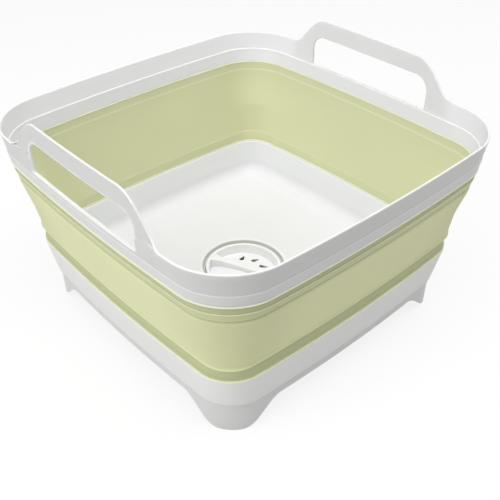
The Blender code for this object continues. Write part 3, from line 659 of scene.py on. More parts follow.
def mark_turns(mesh):
    """Store 'edge' where the surface turns away sharply and 'hollow' where it turns in. Both reach 1 where
    the turn is as tight as the edge radius or tighter."""
    loop_edge = read_values(mesh.loops, "edge_index", kind=int)
    totals = read_values(mesh.polygons, "loop_total", kind=int)
    loop_face = np.repeat(np.arange(len(totals)), totals)
    order = np.argsort(loop_edge, kind="stable")
    edge, face = loop_edge[order], loop_face[order]
    pair = np.flatnonzero(edge[:-1] == edge[1:])
    first, second, edge = face[pair], face[pair + 1], edge[pair]
    centres = read_values(mesh.polygons, "center", 3)
    normals = read_values(mesh.polygons, "normal", 3)
    apart = centres[second] - centres[first]
    turn = np.arccos(np.clip((normals[first] * normals[second]).sum(1), -1, 1))
    tightness = np.clip(EDGE_RADIUS * turn / np.maximum(np.linalg.norm(apart, axis=1), TOUCHING), 0, 1)
    outward = (normals[first] * apart).sum(1) < 0
    ends = read_values(mesh.edges, "vertices", 2, int)[edge]
    for name, chosen in (("edge", outward), ("hollow", ~outward)):
        values = np.zeros(len(mesh.vertices))
        for end in (0, 1):
            np.maximum.at(values, ends[chosen, end], tightness[chosen])
        store(mesh, name, np.where(values > LEAST_TIGHTNESS, values, 0.0))


def finish_piece(piece, material):
    """Shade the piece, mark its edges and give it its finish."""
    choose(piece)
    bpy.ops.object.shade_smooth_by_angle(angle=SMOOTH_ANGLE)
    mark_turns(piece.data)
    piece.data.materials.clear()
    piece.data.materials.append(material)
    print(piece.name, "has", sum(len(face.vertices) - 2 for face in piece.data.polygons), "triangles")


# %% Cut and join


def add_loft(name, stacks):
    """A closed tool for each stack of equal rows of points: rows bridged in turn, the ends filled."""
    body = bmesh.new()
    for stack in stacks:
        rows = [[body.verts.new(point) for point in row] for row in stack]
        for row, next_row in zip(rows, rows[1:]):
            for spot in range(len(row)):
                after = (spot + 1) % len(row)
                body.faces.new((row[spot], row[after], next_row[after], next_row[spot]))
        body.faces.new(rows[0])
        body.faces.new(rows[-1])
    bmesh.ops.recalc_face_normals(body, faces=body.faces)
    mesh = bpy.data.meshes.new(name)
    body.to_mesh(mesh)
    body.free()
    return add_object(name, mesh)


def apply_boolean(piece, tool, operation):
    """Cut a piece with a tool or join it, then remove the tool."""
    choose(piece)
    modifier = piece.modifiers.new(tool.name, "BOOLEAN")
    modifier.operation = operation
    modifier.solver = "EXACT"
    modifier.object = tool
    bpy.ops.object.modifier_apply(modifier=modifier.name)
    bpy.data.objects.remove(tool, do_unlink=True)
    print(piece.name, "after", operation.lower(), "has", len(piece.data.vertices), "points")


# %% [markdown]
# ## Rim
# The rim is one hard white moulding: a band that flares out to its top edge, with a small ledge inside, a
# slight jog outside at the same level, and two handles that stand up from the ledge. The band is a spun
# section. The handles could be plates joined to it, but then a seam would show where the real one has none.
# So they are part of the same skin: on the X sides everything above the ledge is stretched upwards and drawn
# in, which gives the handles the band's own thickness and rounded edge.

# %% Rim section
RIM_SPACING = 0.9 * MM
RIM_WALL = 2.5 * MM
RIM_EDGE_WALL = 1.8 * MM
RIM_EDGE_ROUND = 0.85
RIM_EDGE_MARGIN = 0.05 * MM
RIM_EDGE_Z = RIM_TOP_Z - RIM_EDGE_ROUND * MM - RIM_EDGE_MARGIN
LIP_ROW_Z = RIM_EDGE_Z - 1.2 * MM
LIP_ROWS = 16
LEDGE_OFFSET = 2.93 * MM
LEDGE_WIDTH = 0.9 * MM
RIM_FOOT_OFFSET = 4.7 * MM
RIM_LIP_OFFSET = 4.0 * MM
RIM_LIP_RISE = 1.8 * MM
JOG_OFFSET = 3.5 * MM
JOG_CREST_OFFSET = 3.15 * MM
JOG_CREST_DROP = 0.9 * MM
SOFT_WALL = 2.4 * MM
TONGUE_HEIGHT = 4.0 * MM
TONGUE_SKIN = 0.5 * MM


def at_offset(offset, height, amount=0.0):
    """A section corner from its offset, height and round."""
    return WIDTH / 2 - offset, height, amount


def soft_skin(height):
    """Offset of the soft wall's outer face at a height."""
    return float(skin_at(height, SOFT_LEVELS)[0])


def tongue(root_z, tip_z, grow=0.0):
    """Corners of a hard tongue inside the soft wall, or with grow those of the groove round it."""
    outer = TONGUE_SKIN + SEAT_GAP - grow
    inner = SOFT_WALL - TONGUE_SKIN - SEAT_GAP + grow
    return [at_offset(soft_skin(root_z) + inner, root_z), at_offset(soft_skin(tip_z) + inner, tip_z),
            at_offset(soft_skin(tip_z) + outer, tip_z), at_offset(soft_skin(root_z) + outer, root_z)]


rim_corners = [
    at_offset(RIM_FOOT_OFFSET, SEAM_Z, 0.4),
    at_offset(RIM_LIP_OFFSET, SEAM_Z + RIM_LIP_RISE, 1.0),
    at_offset(JOG_CREST_OFFSET, JOG_Z - JOG_CREST_DROP, 0.5),
    at_offset(JOG_OFFSET, JOG_Z, 0.3),
    *[at_offset(skin_at(z, WALL_LEVELS)[0], z) for z in np.linspace(LIP_ROW_Z, RIM_EDGE_Z, LIP_ROWS)],
    at_offset(0.0, RIM_TOP_Z, RIM_EDGE_ROUND),
    at_offset(RIM_EDGE_WALL, RIM_TOP_Z, RIM_EDGE_ROUND),
    at_offset(LEDGE_OFFSET + RIM_WALL, LEDGE_Z, 0.3),
    at_offset(LEDGE_OFFSET + RIM_WALL + LEDGE_WIDTH, LEDGE_Z, 0.4),
    at_offset(soft_skin(SEAM_Z) + SOFT_WALL, SEAM_Z, 0.3),
    *tongue(SEAM_Z, SEAM_Z - TONGUE_HEIGHT),
]
rim = spin_section("rim_with_handles", rim_corners, RIM_SPACING, COLUMNS)

# %% Raise the handles
LEG_TOP_REACH = 54.0 * MM
LEG_FOOT_REACH = 99.0 * MM
LEG_FLANK_POWER = 1.35
HANDLE_INSET = 0.5 * MM
UPRIGHT_RISE = 4.0 * MM
LIP_END_LENGTH = 18.0 * MM
LIP_END_RISE = 1.0 * MM
LIP_EDGE_DROP = 0.25 * MM
DRAW_IN_SHARE = 0.25
SHELF_EDGE_ROWS = 0.15
SHELF_EDGE_WIDTH = 0.08
SHELF_ROWS = 0.4
PLATE_ROWS = (0.3, 0.45)


def rim_reach(station):
    """How far along the rim's top edge a station lies from the middle of its X side."""
    return outline(0.0, station, RIM_CORNER_RADIUS)[2]


def handle_height(station):
    """How far the rim's top edge rises at a station."""
    share = share_of(rim_reach(station), LEG_TOP_REACH, LEG_FOOT_REACH)
    return HANDLE_RISE * (1.0 - smooth_step(share ** LEG_FLANK_POWER))


def handle_offset(height):
    """Offset of the handle's outer face at a height."""
    return LEDGE_OFFSET + HANDLE_INSET * share_of(height, LEDGE_Z, HANDLE_TOP_Z)


def raise_handles(offset, height, station):
    """Stretch what lies above the ledge up to the handle's outline and draw it in to the ledge's level. The
    rounded edge moves as one. Outside, the flared lip runs on past the handle's foot as a narrow shelf that
    fades into the handle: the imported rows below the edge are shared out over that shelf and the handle."""
    rise = handle_height(station)
    upright = smooth_step(rise / UPRIGHT_RISE)
    fade = smooth_step((LEG_FOOT_REACH - rim_reach(station)) / LIP_END_LENGTH)
    skin = skin_at(height, WALL_LEVELS)[0]
    share = share_of(height, LEDGE_Z, RIM_EDGE_Z)
    raised = height + share * rise
    drawn_in = offset + share_of(share, 0.0, DRAW_IN_SHARE) * upright * (handle_offset(raised) - skin)

    lift = np.minimum(rise, RIM_TOP_Z - LIP_EDGE_DROP - LIP_ROW_Z)
    below_lip = share_of(height, LEDGE_Z, LIP_ROW_Z)
    low_z = height + below_lip * lift
    low_offset = mix(offset, handle_offset(low_z), fade * below_lip)

    row = share_of(height, LIP_ROW_Z, RIM_EDGE_Z)
    edge_row = share_of(row, 0.0, SHELF_EDGE_ROWS)
    across = mix(SHELF_EDGE_WIDTH * edge_row, 1.0, share_of(row, SHELF_EDGE_ROWS, SHELF_ROWS))
    lip_offset = mix(skin_at(LIP_ROW_Z, WALL_LEVELS)[0], handle_offset(LIP_ROW_Z + lift), fade)
    shelf = mix(lip_offset, handle_offset(RIM_TOP_Z), across)
    shelf_z = LIP_ROW_Z + lift + LIP_EDGE_DROP * edge_row
    plate_z = mix(shelf_z, RIM_EDGE_Z + rise, share_of(row, SHELF_ROWS, 1.0))
    plate = mix(shelf, handle_offset(plate_z), share_of(row, *PLATE_ROWS))

    started = smooth_step(rise / LIP_END_RISE)
    on_outside = (offset < skin + RIM_EDGE_WALL / 2) & (height < RIM_EDGE_Z + TOUCHING)
    in_lip = on_outside & (height > LIP_ROW_Z - TOUCHING)
    new_offset = np.where(in_lip, mix(drawn_in, plate, started), np.where(on_outside, low_offset, drawn_in))
    new_z = np.where(in_lip, mix(raised, plate_z, started), np.where(on_outside, low_z, raised))
    return new_offset, new_z


rim_offset, rim_height, rim_station = spun_place(read_points(rim))
settle(rim, wall_radius, raise_handles)
print("handle top at", round(read_points(rim)[:, 2].max() / MM, 1), "mm")

# %% [markdown]
# The white isn't equally white all over: light and shade are painted into it. The band outside gets a painted
# shade, less of it on the lip below the jog, the inside a painted light, paler and cooler, for the light that
# comes back from the whole bowl, and a painted highlight fades down from the top edge except on the handles.
# A mask for each is stored with the points, worked out from where they lay before the handles were raised.

# %% Painted light and shade on the rim
BAND_SHADE_SHARE = 0.5
LIP_SHADE_SHARE = 0.2
INSIDE_LIGHT_SHARE = 1.0
INSIDE_COOL_LIGHT_SHARE = 0.5
EDGE_HIGHLIGHT_SHARE = 0.8
EDGE_HIGHLIGHT_FADE = 1.5 * MM

rim_outside = rim_offset < skin_at(rim_height, WALL_LEVELS)[0] + RIM_EDGE_WALL / 2
without_handle = 1.0 - smooth_step(handle_height(rim_station) / UPRIGHT_RISE)
edge_highlight = EDGE_HIGHLIGHT_SHARE * without_handle * np.exp((rim_height - RIM_TOP_Z) / EDGE_HIGHLIGHT_FADE)
# Painted shade outside, painted light and a cooler painted light inside, a painted highlight under the top
# edge.
store(rim.data, "painted_shade", rim_outside * np.where(rim_height > JOG_Z, BAND_SHADE_SHARE, LIP_SHADE_SHARE))
store(rim.data, "painted_light", np.where(rim_outside, edge_highlight, INSIDE_LIGHT_SHARE))
store(rim.data, "painted_cool_light", ~rim_outside * INSIDE_COOL_LIGHT_SHARE)
print("points on the rim's outside:", rim_outside.sum())

# %% [markdown]
# ### Grip openings
# Each handle has a slot for the fingers. Its edges are rounded, as an edge that a hand closes on has to be. A
# plain box would leave them sharp, so the cutter is shaped like a router bit: its outline widens towards both
# faces of the handle, and the Boolean leaves the rounded edge in the rim.

# %% A router bit for the grip
GRIP_HALF = 67.0 * MM
GRIP_LOW_Z = LEDGE_Z + 0.6 * MM
GRIP_HIGH_Z = HANDLE_TOP_Z - 16.8 * MM
GRIP_TOP_ROUND = 13.0 * MM
GRIP_LOW_ROUND = 2.0 * MM
GRIP_EDGE_ROUND = 0.9 * MM
BIT_OVERRUN = 4.0 * MM
BIT_START_ANGLE = 0.12


def grip_outline(grow, steps=10):
    """The opening's outline as (y, z) points, grown outwards by an amount."""
    high = (GRIP_HIGH_Z - GRIP_TOP_ROUND, GRIP_TOP_ROUND)
    low = (GRIP_LOW_Z + GRIP_LOW_ROUND, GRIP_LOW_ROUND)
    points = []
    for corner, (side, (middle_z, radius)) in enumerate(((1, high), (-1, high), (-1, low), (1, low))):
        points += arc((side * (GRIP_HALF - radius), middle_z), radius + grow,
                      corner * QUARTER_TURN, (corner + 1) * QUARTER_TURN, steps)
    return points


def handle_face_x(y, z):
    """Distance of the handle's outer face from the tub's middle plane at a place on it."""
    offset = handle_offset(z)
    half_y = DEPTH / 2 - offset
    return (WIDTH / 2 - offset) * (1.0 - SIDE_BOW_SHARE * (y / (1.0 - SIDE_BOW_SHARE) / half_y) ** 2)


def handle_wall(z):
    """Thickness of the handle at a height: the band's below, the thin edge's at the top."""
    return mix(RIM_WALL, RIM_EDGE_WALL, share_of(z, LEDGE_Z, HANDLE_TOP_Z))


def round_over(radius, steps=5):
    """Depth below a face and growth of the outline there, along a rounded edge from the face inwards."""
    return arc((radius, radius), -radius, BIT_START_ANGLE, QUARTER_TURN, steps)


def bit_layers():
    """Layers from outside the handle to inside the tub: which face each is measured from (0 the outer, 1 the
    inner), how deep it lies below that face and how far the outline has grown there."""
    rounds = round_over(GRIP_EDGE_ROUND)
    outer = [(-BIT_OVERRUN, rounds[0][1])] + rounds
    inner = [(1, -depth, grow) for depth, grow in reversed(outer)]
    return [(0, depth, grow) for depth, grow in outer] + inner


def router_bit_rows(side):
    """Rows of a cutter through one handle: the opening's outline at each depth."""
    return [[(side * (handle_face_x(y, z) - through * handle_wall(z) - depth), y, z)
             for y, z in grip_outline(grow)] for through, depth, grow in bit_layers()]


# %% Cut the grip openings
apply_boolean(rim, add_loft("router_bits", [router_bit_rows(-1), router_bit_rows(1)]), "DIFFERENCE")
finish_piece(rim, white_plastic)
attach(rim, "rim")
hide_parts("rim_frame")

# %% [markdown]
# ## Soft folding wall
# The green wall is one soft moulding from the rim to the base. It has an upper band with a step and two thin
# lines where it hinges, a broad panel that turns inside out when the tub folds, and a lower band that stands
# on the base. Where it is moulded over the hard edges it ends in a thin bead, which is painted paler as a
# highlight. In the imported model it is three solids. Here it is one skin from the base to the rim, because a
# skin in three pieces would open at the folds.

# %% Soft wall section
SOFT_SPACING = 2.0 * MM
BEAD_HEIGHT = 1.2 * MM
BEAD_DEPTH = 0.35 * MM
BEAD_PROUD = 1.2 * MM
BEAD_SLOPE = 0.3 * MM
WALL_FOOT_Z = LIP_Z + SEAT_GAP
WALL_TOP_Z = SEAM_Z - SEAT_GAP
RIDGE_Z = SEAM_Z - 8.6 * MM
BEAD_Z = WALL_TOP_Z - BEAD_HEIGHT


def soft(height, depth, amount=0.0):
    """A corner of the soft wall's section, given by its depth inside the outer face."""
    return at_offset(soft_skin(height) + depth, height, amount)


def soft_rows(level, face, *rows):
    """Corners near a level, each as millimetres above it, millimetres inside the outer face or the inner one
    (face is how deep that lies) and a round."""
    return [soft(level + above * MM, face + depth * MM, amount) for above, depth, amount in rows]


def inner_bead(end_z, inward):
    """Corners of the thin bead inside, from the wall's end inwards (1 is up, -1 is down)."""
    return [soft(end_z, SOFT_WALL + BEAD_DEPTH, 0.2),
            soft(end_z + inward * BEAD_HEIGHT, SOFT_WALL + BEAD_DEPTH, 0.2),
            soft(end_z + inward * (BEAD_HEIGHT + BEAD_SLOPE), SOFT_WALL, 0.2)]


outer_face = [
    soft(WALL_FOOT_Z, -BEAD_PROUD, 0.15),
    soft(WALL_FOOT_Z + BEAD_HEIGHT / 2, -BEAD_PROUD, 0.25),
    *soft_rows(WALL_FOOT_Z, 0.0, (1.4, 0.3, 0.2), (5.0, 0.9, 2.4)),
    *soft_rows(LOWER_FOLD_Z, 0.0, (-1.6, 1.9, 0.8), (-0.2, 0.5, 0.5), (0.9, -0.7, 0.7), (3.4, 0.7, 1.3),
               (9.0, 0.9, 3.0)),
    *soft_rows(PANEL_MIDDLE_Z, 0.0, (0.0, 0.7, 12.0)),
    *soft_rows(UPPER_FOLD_Z, 0.0, (-3.0, 0.3, 1.5), (-0.8, 1.6, 0.5), (0.3, 1.8, 0.3), (1.6, 0.9, 0.5)),
    *soft_rows(RIDGE_Z, 0.0, (-0.7, 0.35, 0.3), (-0.2, -0.3, 0.25), (0.3, -0.25, 0.2), (0.8, 0.5, 0.3)),
    *soft_rows(BEAD_Z, 0.0, (-0.3, 0.75, 0.2)),
    soft(BEAD_Z, -BEAD_PROUD, 0.25),
    soft(WALL_TOP_Z - BEAD_HEIGHT / 2, -BEAD_PROUD, 0.25),
    soft(WALL_TOP_Z, -BEAD_DEPTH, 0.15),
]
inner_face = [
    *soft_rows(UPPER_FOLD_Z, SOFT_WALL, (5.0, 0.1, 4.0), (-8.0, 0.4, 6.0)),
    *soft_rows(PANEL_MIDDLE_Z, SOFT_WALL, (0.0, 0.5, 12.0)),
    *soft_rows(LOWER_FOLD_Z, SOFT_WALL, (1.4, 0.2, 1.0), (-0.6, 0.2, 0.6), (-2.2, 0.7, 1.0)),
    *soft_rows(WALL_FOOT_Z, SOFT_WALL, (4.0, 0.5, 1.5)),
]
soft_corners = [*outer_face, *reversed(tongue(WALL_TOP_Z, SEAM_Z - TONGUE_HEIGHT - SEAT_GAP, SEAT_GAP)),
                *inner_bead(WALL_TOP_Z, -1), *inner_face, *reversed(inner_bead(WALL_FOOT_Z, 1)),
                *tongue(WALL_FOOT_Z, LIP_Z + TONGUE_HEIGHT + SEAT_GAP, SEAT_GAP)]
soft_wall = spin_section("soft_folding_wall", soft_corners, SOFT_SPACING, COLUMNS)

# %% [markdown]
# Light and shade are painted into the green here. Both bands get a painted shade, the middle of each side a
# painted light and the small roll above the lower fold a painted highlight, and the whole inner face a
# painted shade. Masks worked out from the heights and from the place along the side put each one in place.

# %% Painted shade on the bands, painted light on the sides
BAND_EDGE = 1.0 * MM
LOWER_BAND_END = LOWER_FOLD_Z - 0.8 * MM
UPPER_BAND_START = UPPER_FOLD_Z - 1.4 * MM
SECOND_BAND_START = UPPER_FOLD_Z + 1.0 * MM
SECOND_BAND_SHADE_SHARE = 0.5
RIDGE_HALF = 0.45 * MM
SIDE_LIGHT_SHARE = 0.7
SIDE_FADE = (0.45, 0.9)
PANEL_FADE = 4.0 * MM
ROLL_Z = LOWER_FOLD_Z + 1.9 * MM
ROLL_HALF = 1.0 * MM
ROLL_HIGHLIGHT_SHARE = 0.8

wall_offset, wall_height, wall_station = spun_place(read_points(soft_wall))
on_face = wall_offset < skin_at(wall_height, SOFT_LEVELS)[0] + SOFT_WALL - TONGUE_SKIN
upper_band = smooth_step(share_of(wall_height, UPPER_BAND_START, UPPER_BAND_START + BAND_EDGE))
lower_band = 1.0 - smooth_step(share_of(wall_height, LOWER_BAND_END, LOWER_BAND_END + BAND_EDGE))
on_ridge = np.abs(wall_height - RIDGE_Z) < RIDGE_HALF
under_ridge = (wall_height < RIDGE_Z) & (wall_height > SECOND_BAND_START)
band_shade = np.where(on_ridge, 0.0, np.where(under_ridge, SECOND_BAND_SHADE_SHARE, 1.0))
from_middle = np.abs((wall_station + QUARTER // 2) % QUARTER - QUARTER // 2) / (SIDE_STEPS + CORNER_STEPS / 2)
on_side = 1.0 - smooth_step(share_of(from_middle, *SIDE_FADE))
on_panel = share_of(wall_height, LOWER_FOLD_Z, LOWER_FOLD_Z + PANEL_FADE) * (1.0 - upper_band)
roll = np.exp(-((wall_height - ROLL_Z) / ROLL_HALF) ** 2)
# Painted light on the middle of the sides and a painted highlight on the roll above the lower fold.
thin = np.maximum(SIDE_LIGHT_SHARE * on_side * on_panel, ROLL_HIGHLIGHT_SHARE * roll)
# Painted shade on both bands and over the whole inner face.
store(soft_wall.data, "painted_band_shade", on_face * band_shade * (upper_band + lower_band))
store(soft_wall.data, "painted_side_light", on_face * thin)
store(soft_wall.data, "inner_face", ~on_face * 1.0)
print("points on the soft wall's outside:", on_face.sum())

# %% [markdown]
# A thin soft panel never hangs quite flat. Three slow waves round the tub, in and out by a fraction of a
# millimetre, are enough for light to play on it. They die out towards the folds, which stay straight.

# %% Ripple the panel and finish the soft wall
PANEL_RIPPLE = 0.22 * MM
# Strength, waves round the tub, slant as the height of one radian, and start
PANEL_WAVES = ((1.0, 5, 19.0 * MM, 0.0), (0.7, 11, -14.0 * MM, 1.0), (0.5, 17, 11.0 * MM, 2.0))
RIDGE_HIGHLIGHT_SHARE = 0.35
BEAD_MARGIN = 0.1 * MM


def ripple(offset, height, station):
    """Move the panel in and out by slow waves, both faces alike."""
    turn = station / COLUMNS * FULL_TURN
    between_folds = np.sin(HALF_TURN * share_of(height, LOWER_FOLD_Z, UPPER_FOLD_Z)) ** 2
    waves = sum(strength * np.sin(count * turn + height / slant + start)
                for strength, count, slant, start in PANEL_WAVES)
    return offset + PANEL_RIPPLE * between_folds * waves, height


settle(soft_wall, wall_radius, ripple)
wall_points = read_points(soft_wall)
store(soft_wall.data, "rest_place", wall_points, "FLOAT_VECTOR")
from_seam = np.minimum(np.abs(wall_points[:, 2] - WALL_TOP_Z), np.abs(wall_points[:, 2] - WALL_FOOT_Z))
# Painted highlight on the seam beads, and less of it on the ridge.
store(soft_wall.data, "bead", (from_seam < BEAD_HEIGHT + BEAD_MARGIN) + RIDGE_HIGHLIGHT_SHARE * on_ridge)
finish_piece(soft_wall, soft_green)
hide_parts("wall_lower_band", "wall_panel", "wall_upper_band")

# %% [markdown]
# ## Base
# The base is the tub's floor, its low wall, the lip that carries the soft wall, and a hollow skirt that comes
# down to four corner feet. Floor and skirt belong to one section, so the base is spun as well. Two things
# differ from a plain spun tub: the skirt's lower edge rises between the feet, which is done while the skin
# settles on the outline, and the floor turns from the square tub into the round drain, which is done after.

# %% Base sizes
BASE_SPACING = 3.2 * MM
BASE_WALL = 2.2 * MM
SKIRT_OFFSET = 24.9 * MM
STEP_IN = 1.0 * MM
LIP_DEPTH = 7.0 * MM
LIP_SLOPE = (STEP_OFFSET - LIP_OFFSET) / BASE_BAND_HEIGHT
UNDER_LIP_Z = LIP_Z - LIP_DEPTH
SKIRT_TOP_Z = STEP_Z - STEP_IN
TUB_TOP_OFFSET = 24.0 * MM
TUB_TOP_DRAFT = 1.4 * MM
TUB_FOOT_OFFSET = 30.2 * MM
FLOOR_FILLET = 12.0 * MM
FLOOR_EDGE_Z = LIP_Z - 31.5 * MM
FLOOR_Z = LIP_Z - 32.0 * MM

STRAINER_RADIUS = 34.6 * MM
SEAT_RADIUS = STRAINER_RADIUS + 0.5 * MM
SEAT_LEDGE_RADIUS = SEAT_RADIUS - 3.8 * MM
RECESS_RADIUS = SEAT_RADIUS + 2.4 * MM
SUMP_WALL_RADIUS = RECESS_RADIUS + 1.2 * MM
SUMP_Z = FLOOR_Z - 18.7 * MM
STRAINER_SEAT_Z = SUMP_Z + 4.6 * MM
OUTLET_RADIUS = 14.4 * MM
OUTLET_Z = SUMP_Z - 6.0 * MM
SPIGOT_RADIUS = OUTLET_RADIUS + 2.4 * MM

# The recess round the strainer, from its foot up: distance from its radius, drop below the floor, round
RECESS_ROWS = ((-0.5, 4.2, 0.5), (0.1, 0.9, 0.3), (1.1, 0.0, 0.7))
RECESS_FOOT_DROP = 4.8 * MM
print("strainer's seat at", round(STRAINER_SEAT_Z / MM, 1), "mm, floor at", round(FLOOR_Z / MM, 1), "mm")

# %% Base section


def fillet_corners(radius, wall_offset, floor_z, steps):
    """Corners of the round between the floor and the tub's wall, from the floor up."""
    points = arc((wall_offset + radius, floor_z + radius), radius, -QUARTER_TURN, -HALF_TURN, steps)
    return [at_offset(offset, height) for offset, height in points]


base_corners = [
    (OUTLET_RADIUS, OUTLET_Z, 0.4),
    (OUTLET_RADIUS, SUMP_Z, 0.5),
    (SEAT_LEDGE_RADIUS, SUMP_Z, 1.0),
    (SEAT_LEDGE_RADIUS, STRAINER_SEAT_Z, 0.5),
    (SEAT_RADIUS, STRAINER_SEAT_Z, 0.6),
    (SEAT_RADIUS, FLOOR_Z - RECESS_FOOT_DROP, 0.4),
    *[(RECESS_RADIUS + out * MM, FLOOR_Z - drop * MM, amount) for out, drop, amount in RECESS_ROWS],
    *fillet_corners(FLOOR_FILLET, TUB_FOOT_OFFSET, FLOOR_EDGE_Z, steps=10),
    at_offset(TUB_TOP_OFFSET, LIP_Z, 0.5),
    *tongue(LIP_Z, LIP_Z + TONGUE_HEIGHT),
    at_offset(LIP_OFFSET, LIP_Z, 0.6),
    at_offset(STEP_OFFSET, STEP_Z, 0.35),
    at_offset(STEP_OFFSET + STEP_IN, SKIRT_TOP_Z, 0.35),
    at_offset(SKIRT_OFFSET, 0.0, 0.9),
    at_offset(SKIRT_OFFSET + BASE_WALL, 0.0, 0.7),
    at_offset(STEP_OFFSET + STEP_IN + BASE_WALL, SKIRT_TOP_Z),
    at_offset(LIP_OFFSET + LIP_SLOPE * LIP_DEPTH + BASE_WALL, UNDER_LIP_Z, 0.8),
    at_offset(TUB_TOP_OFFSET + TUB_TOP_DRAFT - BASE_WALL, UNDER_LIP_Z, 0.6),
    *reversed(fillet_corners(FLOOR_FILLET, TUB_FOOT_OFFSET - BASE_WALL, FLOOR_EDGE_Z - BASE_WALL, steps=8)),
    (RECESS_RADIUS + BASE_WALL, FLOOR_Z - BASE_WALL, 1.0),
    (SUMP_WALL_RADIUS, FLOOR_Z - 2 * BASE_WALL, 0.0),
    (SUMP_WALL_RADIUS, STRAINER_SEAT_Z - BASE_WALL, 1.0),
    (SEAT_LEDGE_RADIUS + BASE_WALL, STRAINER_SEAT_Z - BASE_WALL, 0.6),
    (SEAT_LEDGE_RADIUS + BASE_WALL, SUMP_Z - BASE_WALL, 1.0),
    (SPIGOT_RADIUS, SUMP_Z - BASE_WALL, 0.6),
    (SPIGOT_RADIUS, OUTLET_Z, 0.5),
]
base = spin_section("base_with_feet", base_corners, BASE_SPACING, COLUMNS)

# %% Painted light and shade on the base
SKIRT_SHADE_SHARE = 0.25
RECESS_SHADE_SHARE = 0.9
BASE_BAND_LIGHT_SHARE = 0.4
TUB_COOL_LIGHT_SHARE = 0.5
RECESS_EDGE_OUT = 0.7 * MM
RECESS_EDGE_DROP = 0.2 * MM
TUB_EDGE_IN = 0.6 * MM
TUB_EDGE_DROP = 1.0 * MM

base_offset, base_height, _ = spun_place(read_points(base))
above_step = base_height > STEP_Z - STEP_IN / 2
base_skin = np.where(above_step, skin_at(base_height, SKIRT_LEVELS)[0], SKIRT_OFFSET)
base_outside = base_offset < base_skin + BASE_WALL / 2
in_recess = ((WIDTH / 2 - base_offset < RECESS_RADIUS + RECESS_EDGE_OUT)
             & (base_height < FLOOR_Z - RECESS_EDGE_DROP))
in_tub = (base_offset > TUB_TOP_OFFSET - TUB_EDGE_IN) & (base_height > FLOOR_Z - TUB_EDGE_DROP)
# Painted shade on the skirt and in the recess round the strainer, painted light on the band above the step
# and a cooler painted light inside the tub.
skirt_shade = (base_outside & ~above_step) * SKIRT_SHADE_SHARE
store(base.data, "painted_light", (base_outside & above_step) * BASE_BAND_LIGHT_SHARE)
store(base.data, "painted_shade", np.where(in_recess, RECESS_SHADE_SHARE, skirt_shade))
store(base.data, "painted_cool_light", in_tub * TUB_COOL_LIGHT_SHARE)
print("points in the recess:", in_recess.sum(), "and in the tub:", in_tub.sum())

# %% Raise the skirt between the feet
FOOT_HEIGHT = 21.7 * MM
FOOT_FLAT_REACH = 8.5 * MM
FOOT_ROOT_REACH = 46.0 * MM
FOOT_CORNER_RADIUS = 32.5 * MM
FOOT_SOLE = 2.0 * MM
# The offset that parts the skirt, outside it, from the tub, inside it, at each height
PARTING = ((0.0, 30.0 * MM), (FLOOR_EDGE_Z, 26.9 * MM), (UNDER_LIP_Z, 22.5 * MM), (LIP_Z, 19.0 * MM))


def base_radius(offset, height):
    """Corner radius in the base: concentric with the lip inside, rounder on the skirt and the feet."""
    inside = LIP_CORNER_RADIUS - (offset - LIP_OFFSET)
    skin_offset, skin_radius = skin_at(height, SKIRT_LEVELS)
    skirt = skin_radius - (offset - skin_offset)
    return np.where(offset < np.interp(height, *zip(*PARTING)), skirt, inside)


def raise_skirt(offset, height, station):
    """Lift the skirt's lower edge between the corners, and leave the feet on the ground."""
    straight = DEPTH / 2 - SKIRT_OFFSET - FOOT_CORNER_RADIUS
    reach = outline(SKIRT_OFFSET, station, FOOT_CORNER_RADIUS)[2]
    from_corner = np.abs(reach - straight - FOOT_CORNER_RADIUS * QUARTER_TURN / 2)
    lift = FOOT_HEIGHT * smooth_step(share_of(from_corner, FOOT_FLAT_REACH, FOOT_ROOT_REACH))
    on_skirt = (offset < SKIRT_OFFSET + BASE_WALL + TOUCHING) & (height < SKIRT_TOP_Z)
    return offset, height + np.where(on_skirt, share_of(height, SKIRT_TOP_Z, FOOT_SOLE) * lift, 0.0)


flat_points = read_points(base)
settle(base, base_radius, raise_skirt)

# %% Turn the floor into the drain
DRAIN_MARGIN = 0.5 * MM
DRAIN_EDGE = RECESS_RADIUS + BASE_WALL + DRAIN_MARGIN
FLOOR_EDGE_OFFSET = TUB_FOOT_OFFSET + FLOOR_FILLET

flat_offset, _, flat_station = spun_place(flat_points)
square_points = read_points(base)
from_axis = WIDTH / 2 - flat_offset
floor_x, floor_y, _ = outline(FLOOR_EDGE_OFFSET, flat_station, base_radius(FLOOR_EDGE_OFFSET, FLOOR_Z))
outward = share_of(from_axis, DRAIN_EDGE, WIDTH / 2 - FLOOR_EDGE_OFFSET)[:, None]
round_xy = flat_points[:, :2] * (np.minimum(from_axis, DRAIN_EDGE) / from_axis)[:, None]
on_floor = from_axis < WIDTH / 2 - FLOOR_EDGE_OFFSET - TOUCHING
square_points[on_floor, :2] = mix(round_xy, np.stack([floor_x, floor_y], 1), outward)[on_floor]
write_points(base, square_points)
finish_piece(base, white_plastic)
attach(base, "base")
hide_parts("base_tray")

# %% [markdown]
# ## Strainer
# The strainer drops into the sump: a ring, a domed floor with a row of teardrop slots on each side of a bar,
# the bar itself to lift it by, and a stem that holds the plug. Slots cut through a dome would each need a
# tool turned to its slope. So they are cut while the floor is flat, with router bits again, and the cut floor
# is domed afterwards, and each slot follows the dome.

# %% Strainer sizes
RING_TOP_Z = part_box("strainer_basket")[1].z
STRAINER_WALL = 2.6 * MM
STRAINER_INNER = STRAINER_RADIUS - STRAINER_WALL
STRAINER_LOW_Z = STRAINER_SEAT_Z + SEAT_GAP
STRAINER_DRAFT = 0.5 * MM
STRAINER_STEPS = 96
DOME_SPACING = 1.4 * MM
RING_SPACING = 1.5 * MM
SLAB_REACH = STRAINER_RADIUS - STRAINER_WALL / 2
DOME_FOOT_Z = RING_TOP_Z - 9.4 * MM
DOME_RISE = 4.0 * MM
DOME_WALL = 1.6 * MM
BAR_ANGLE = math.radians(112.0)


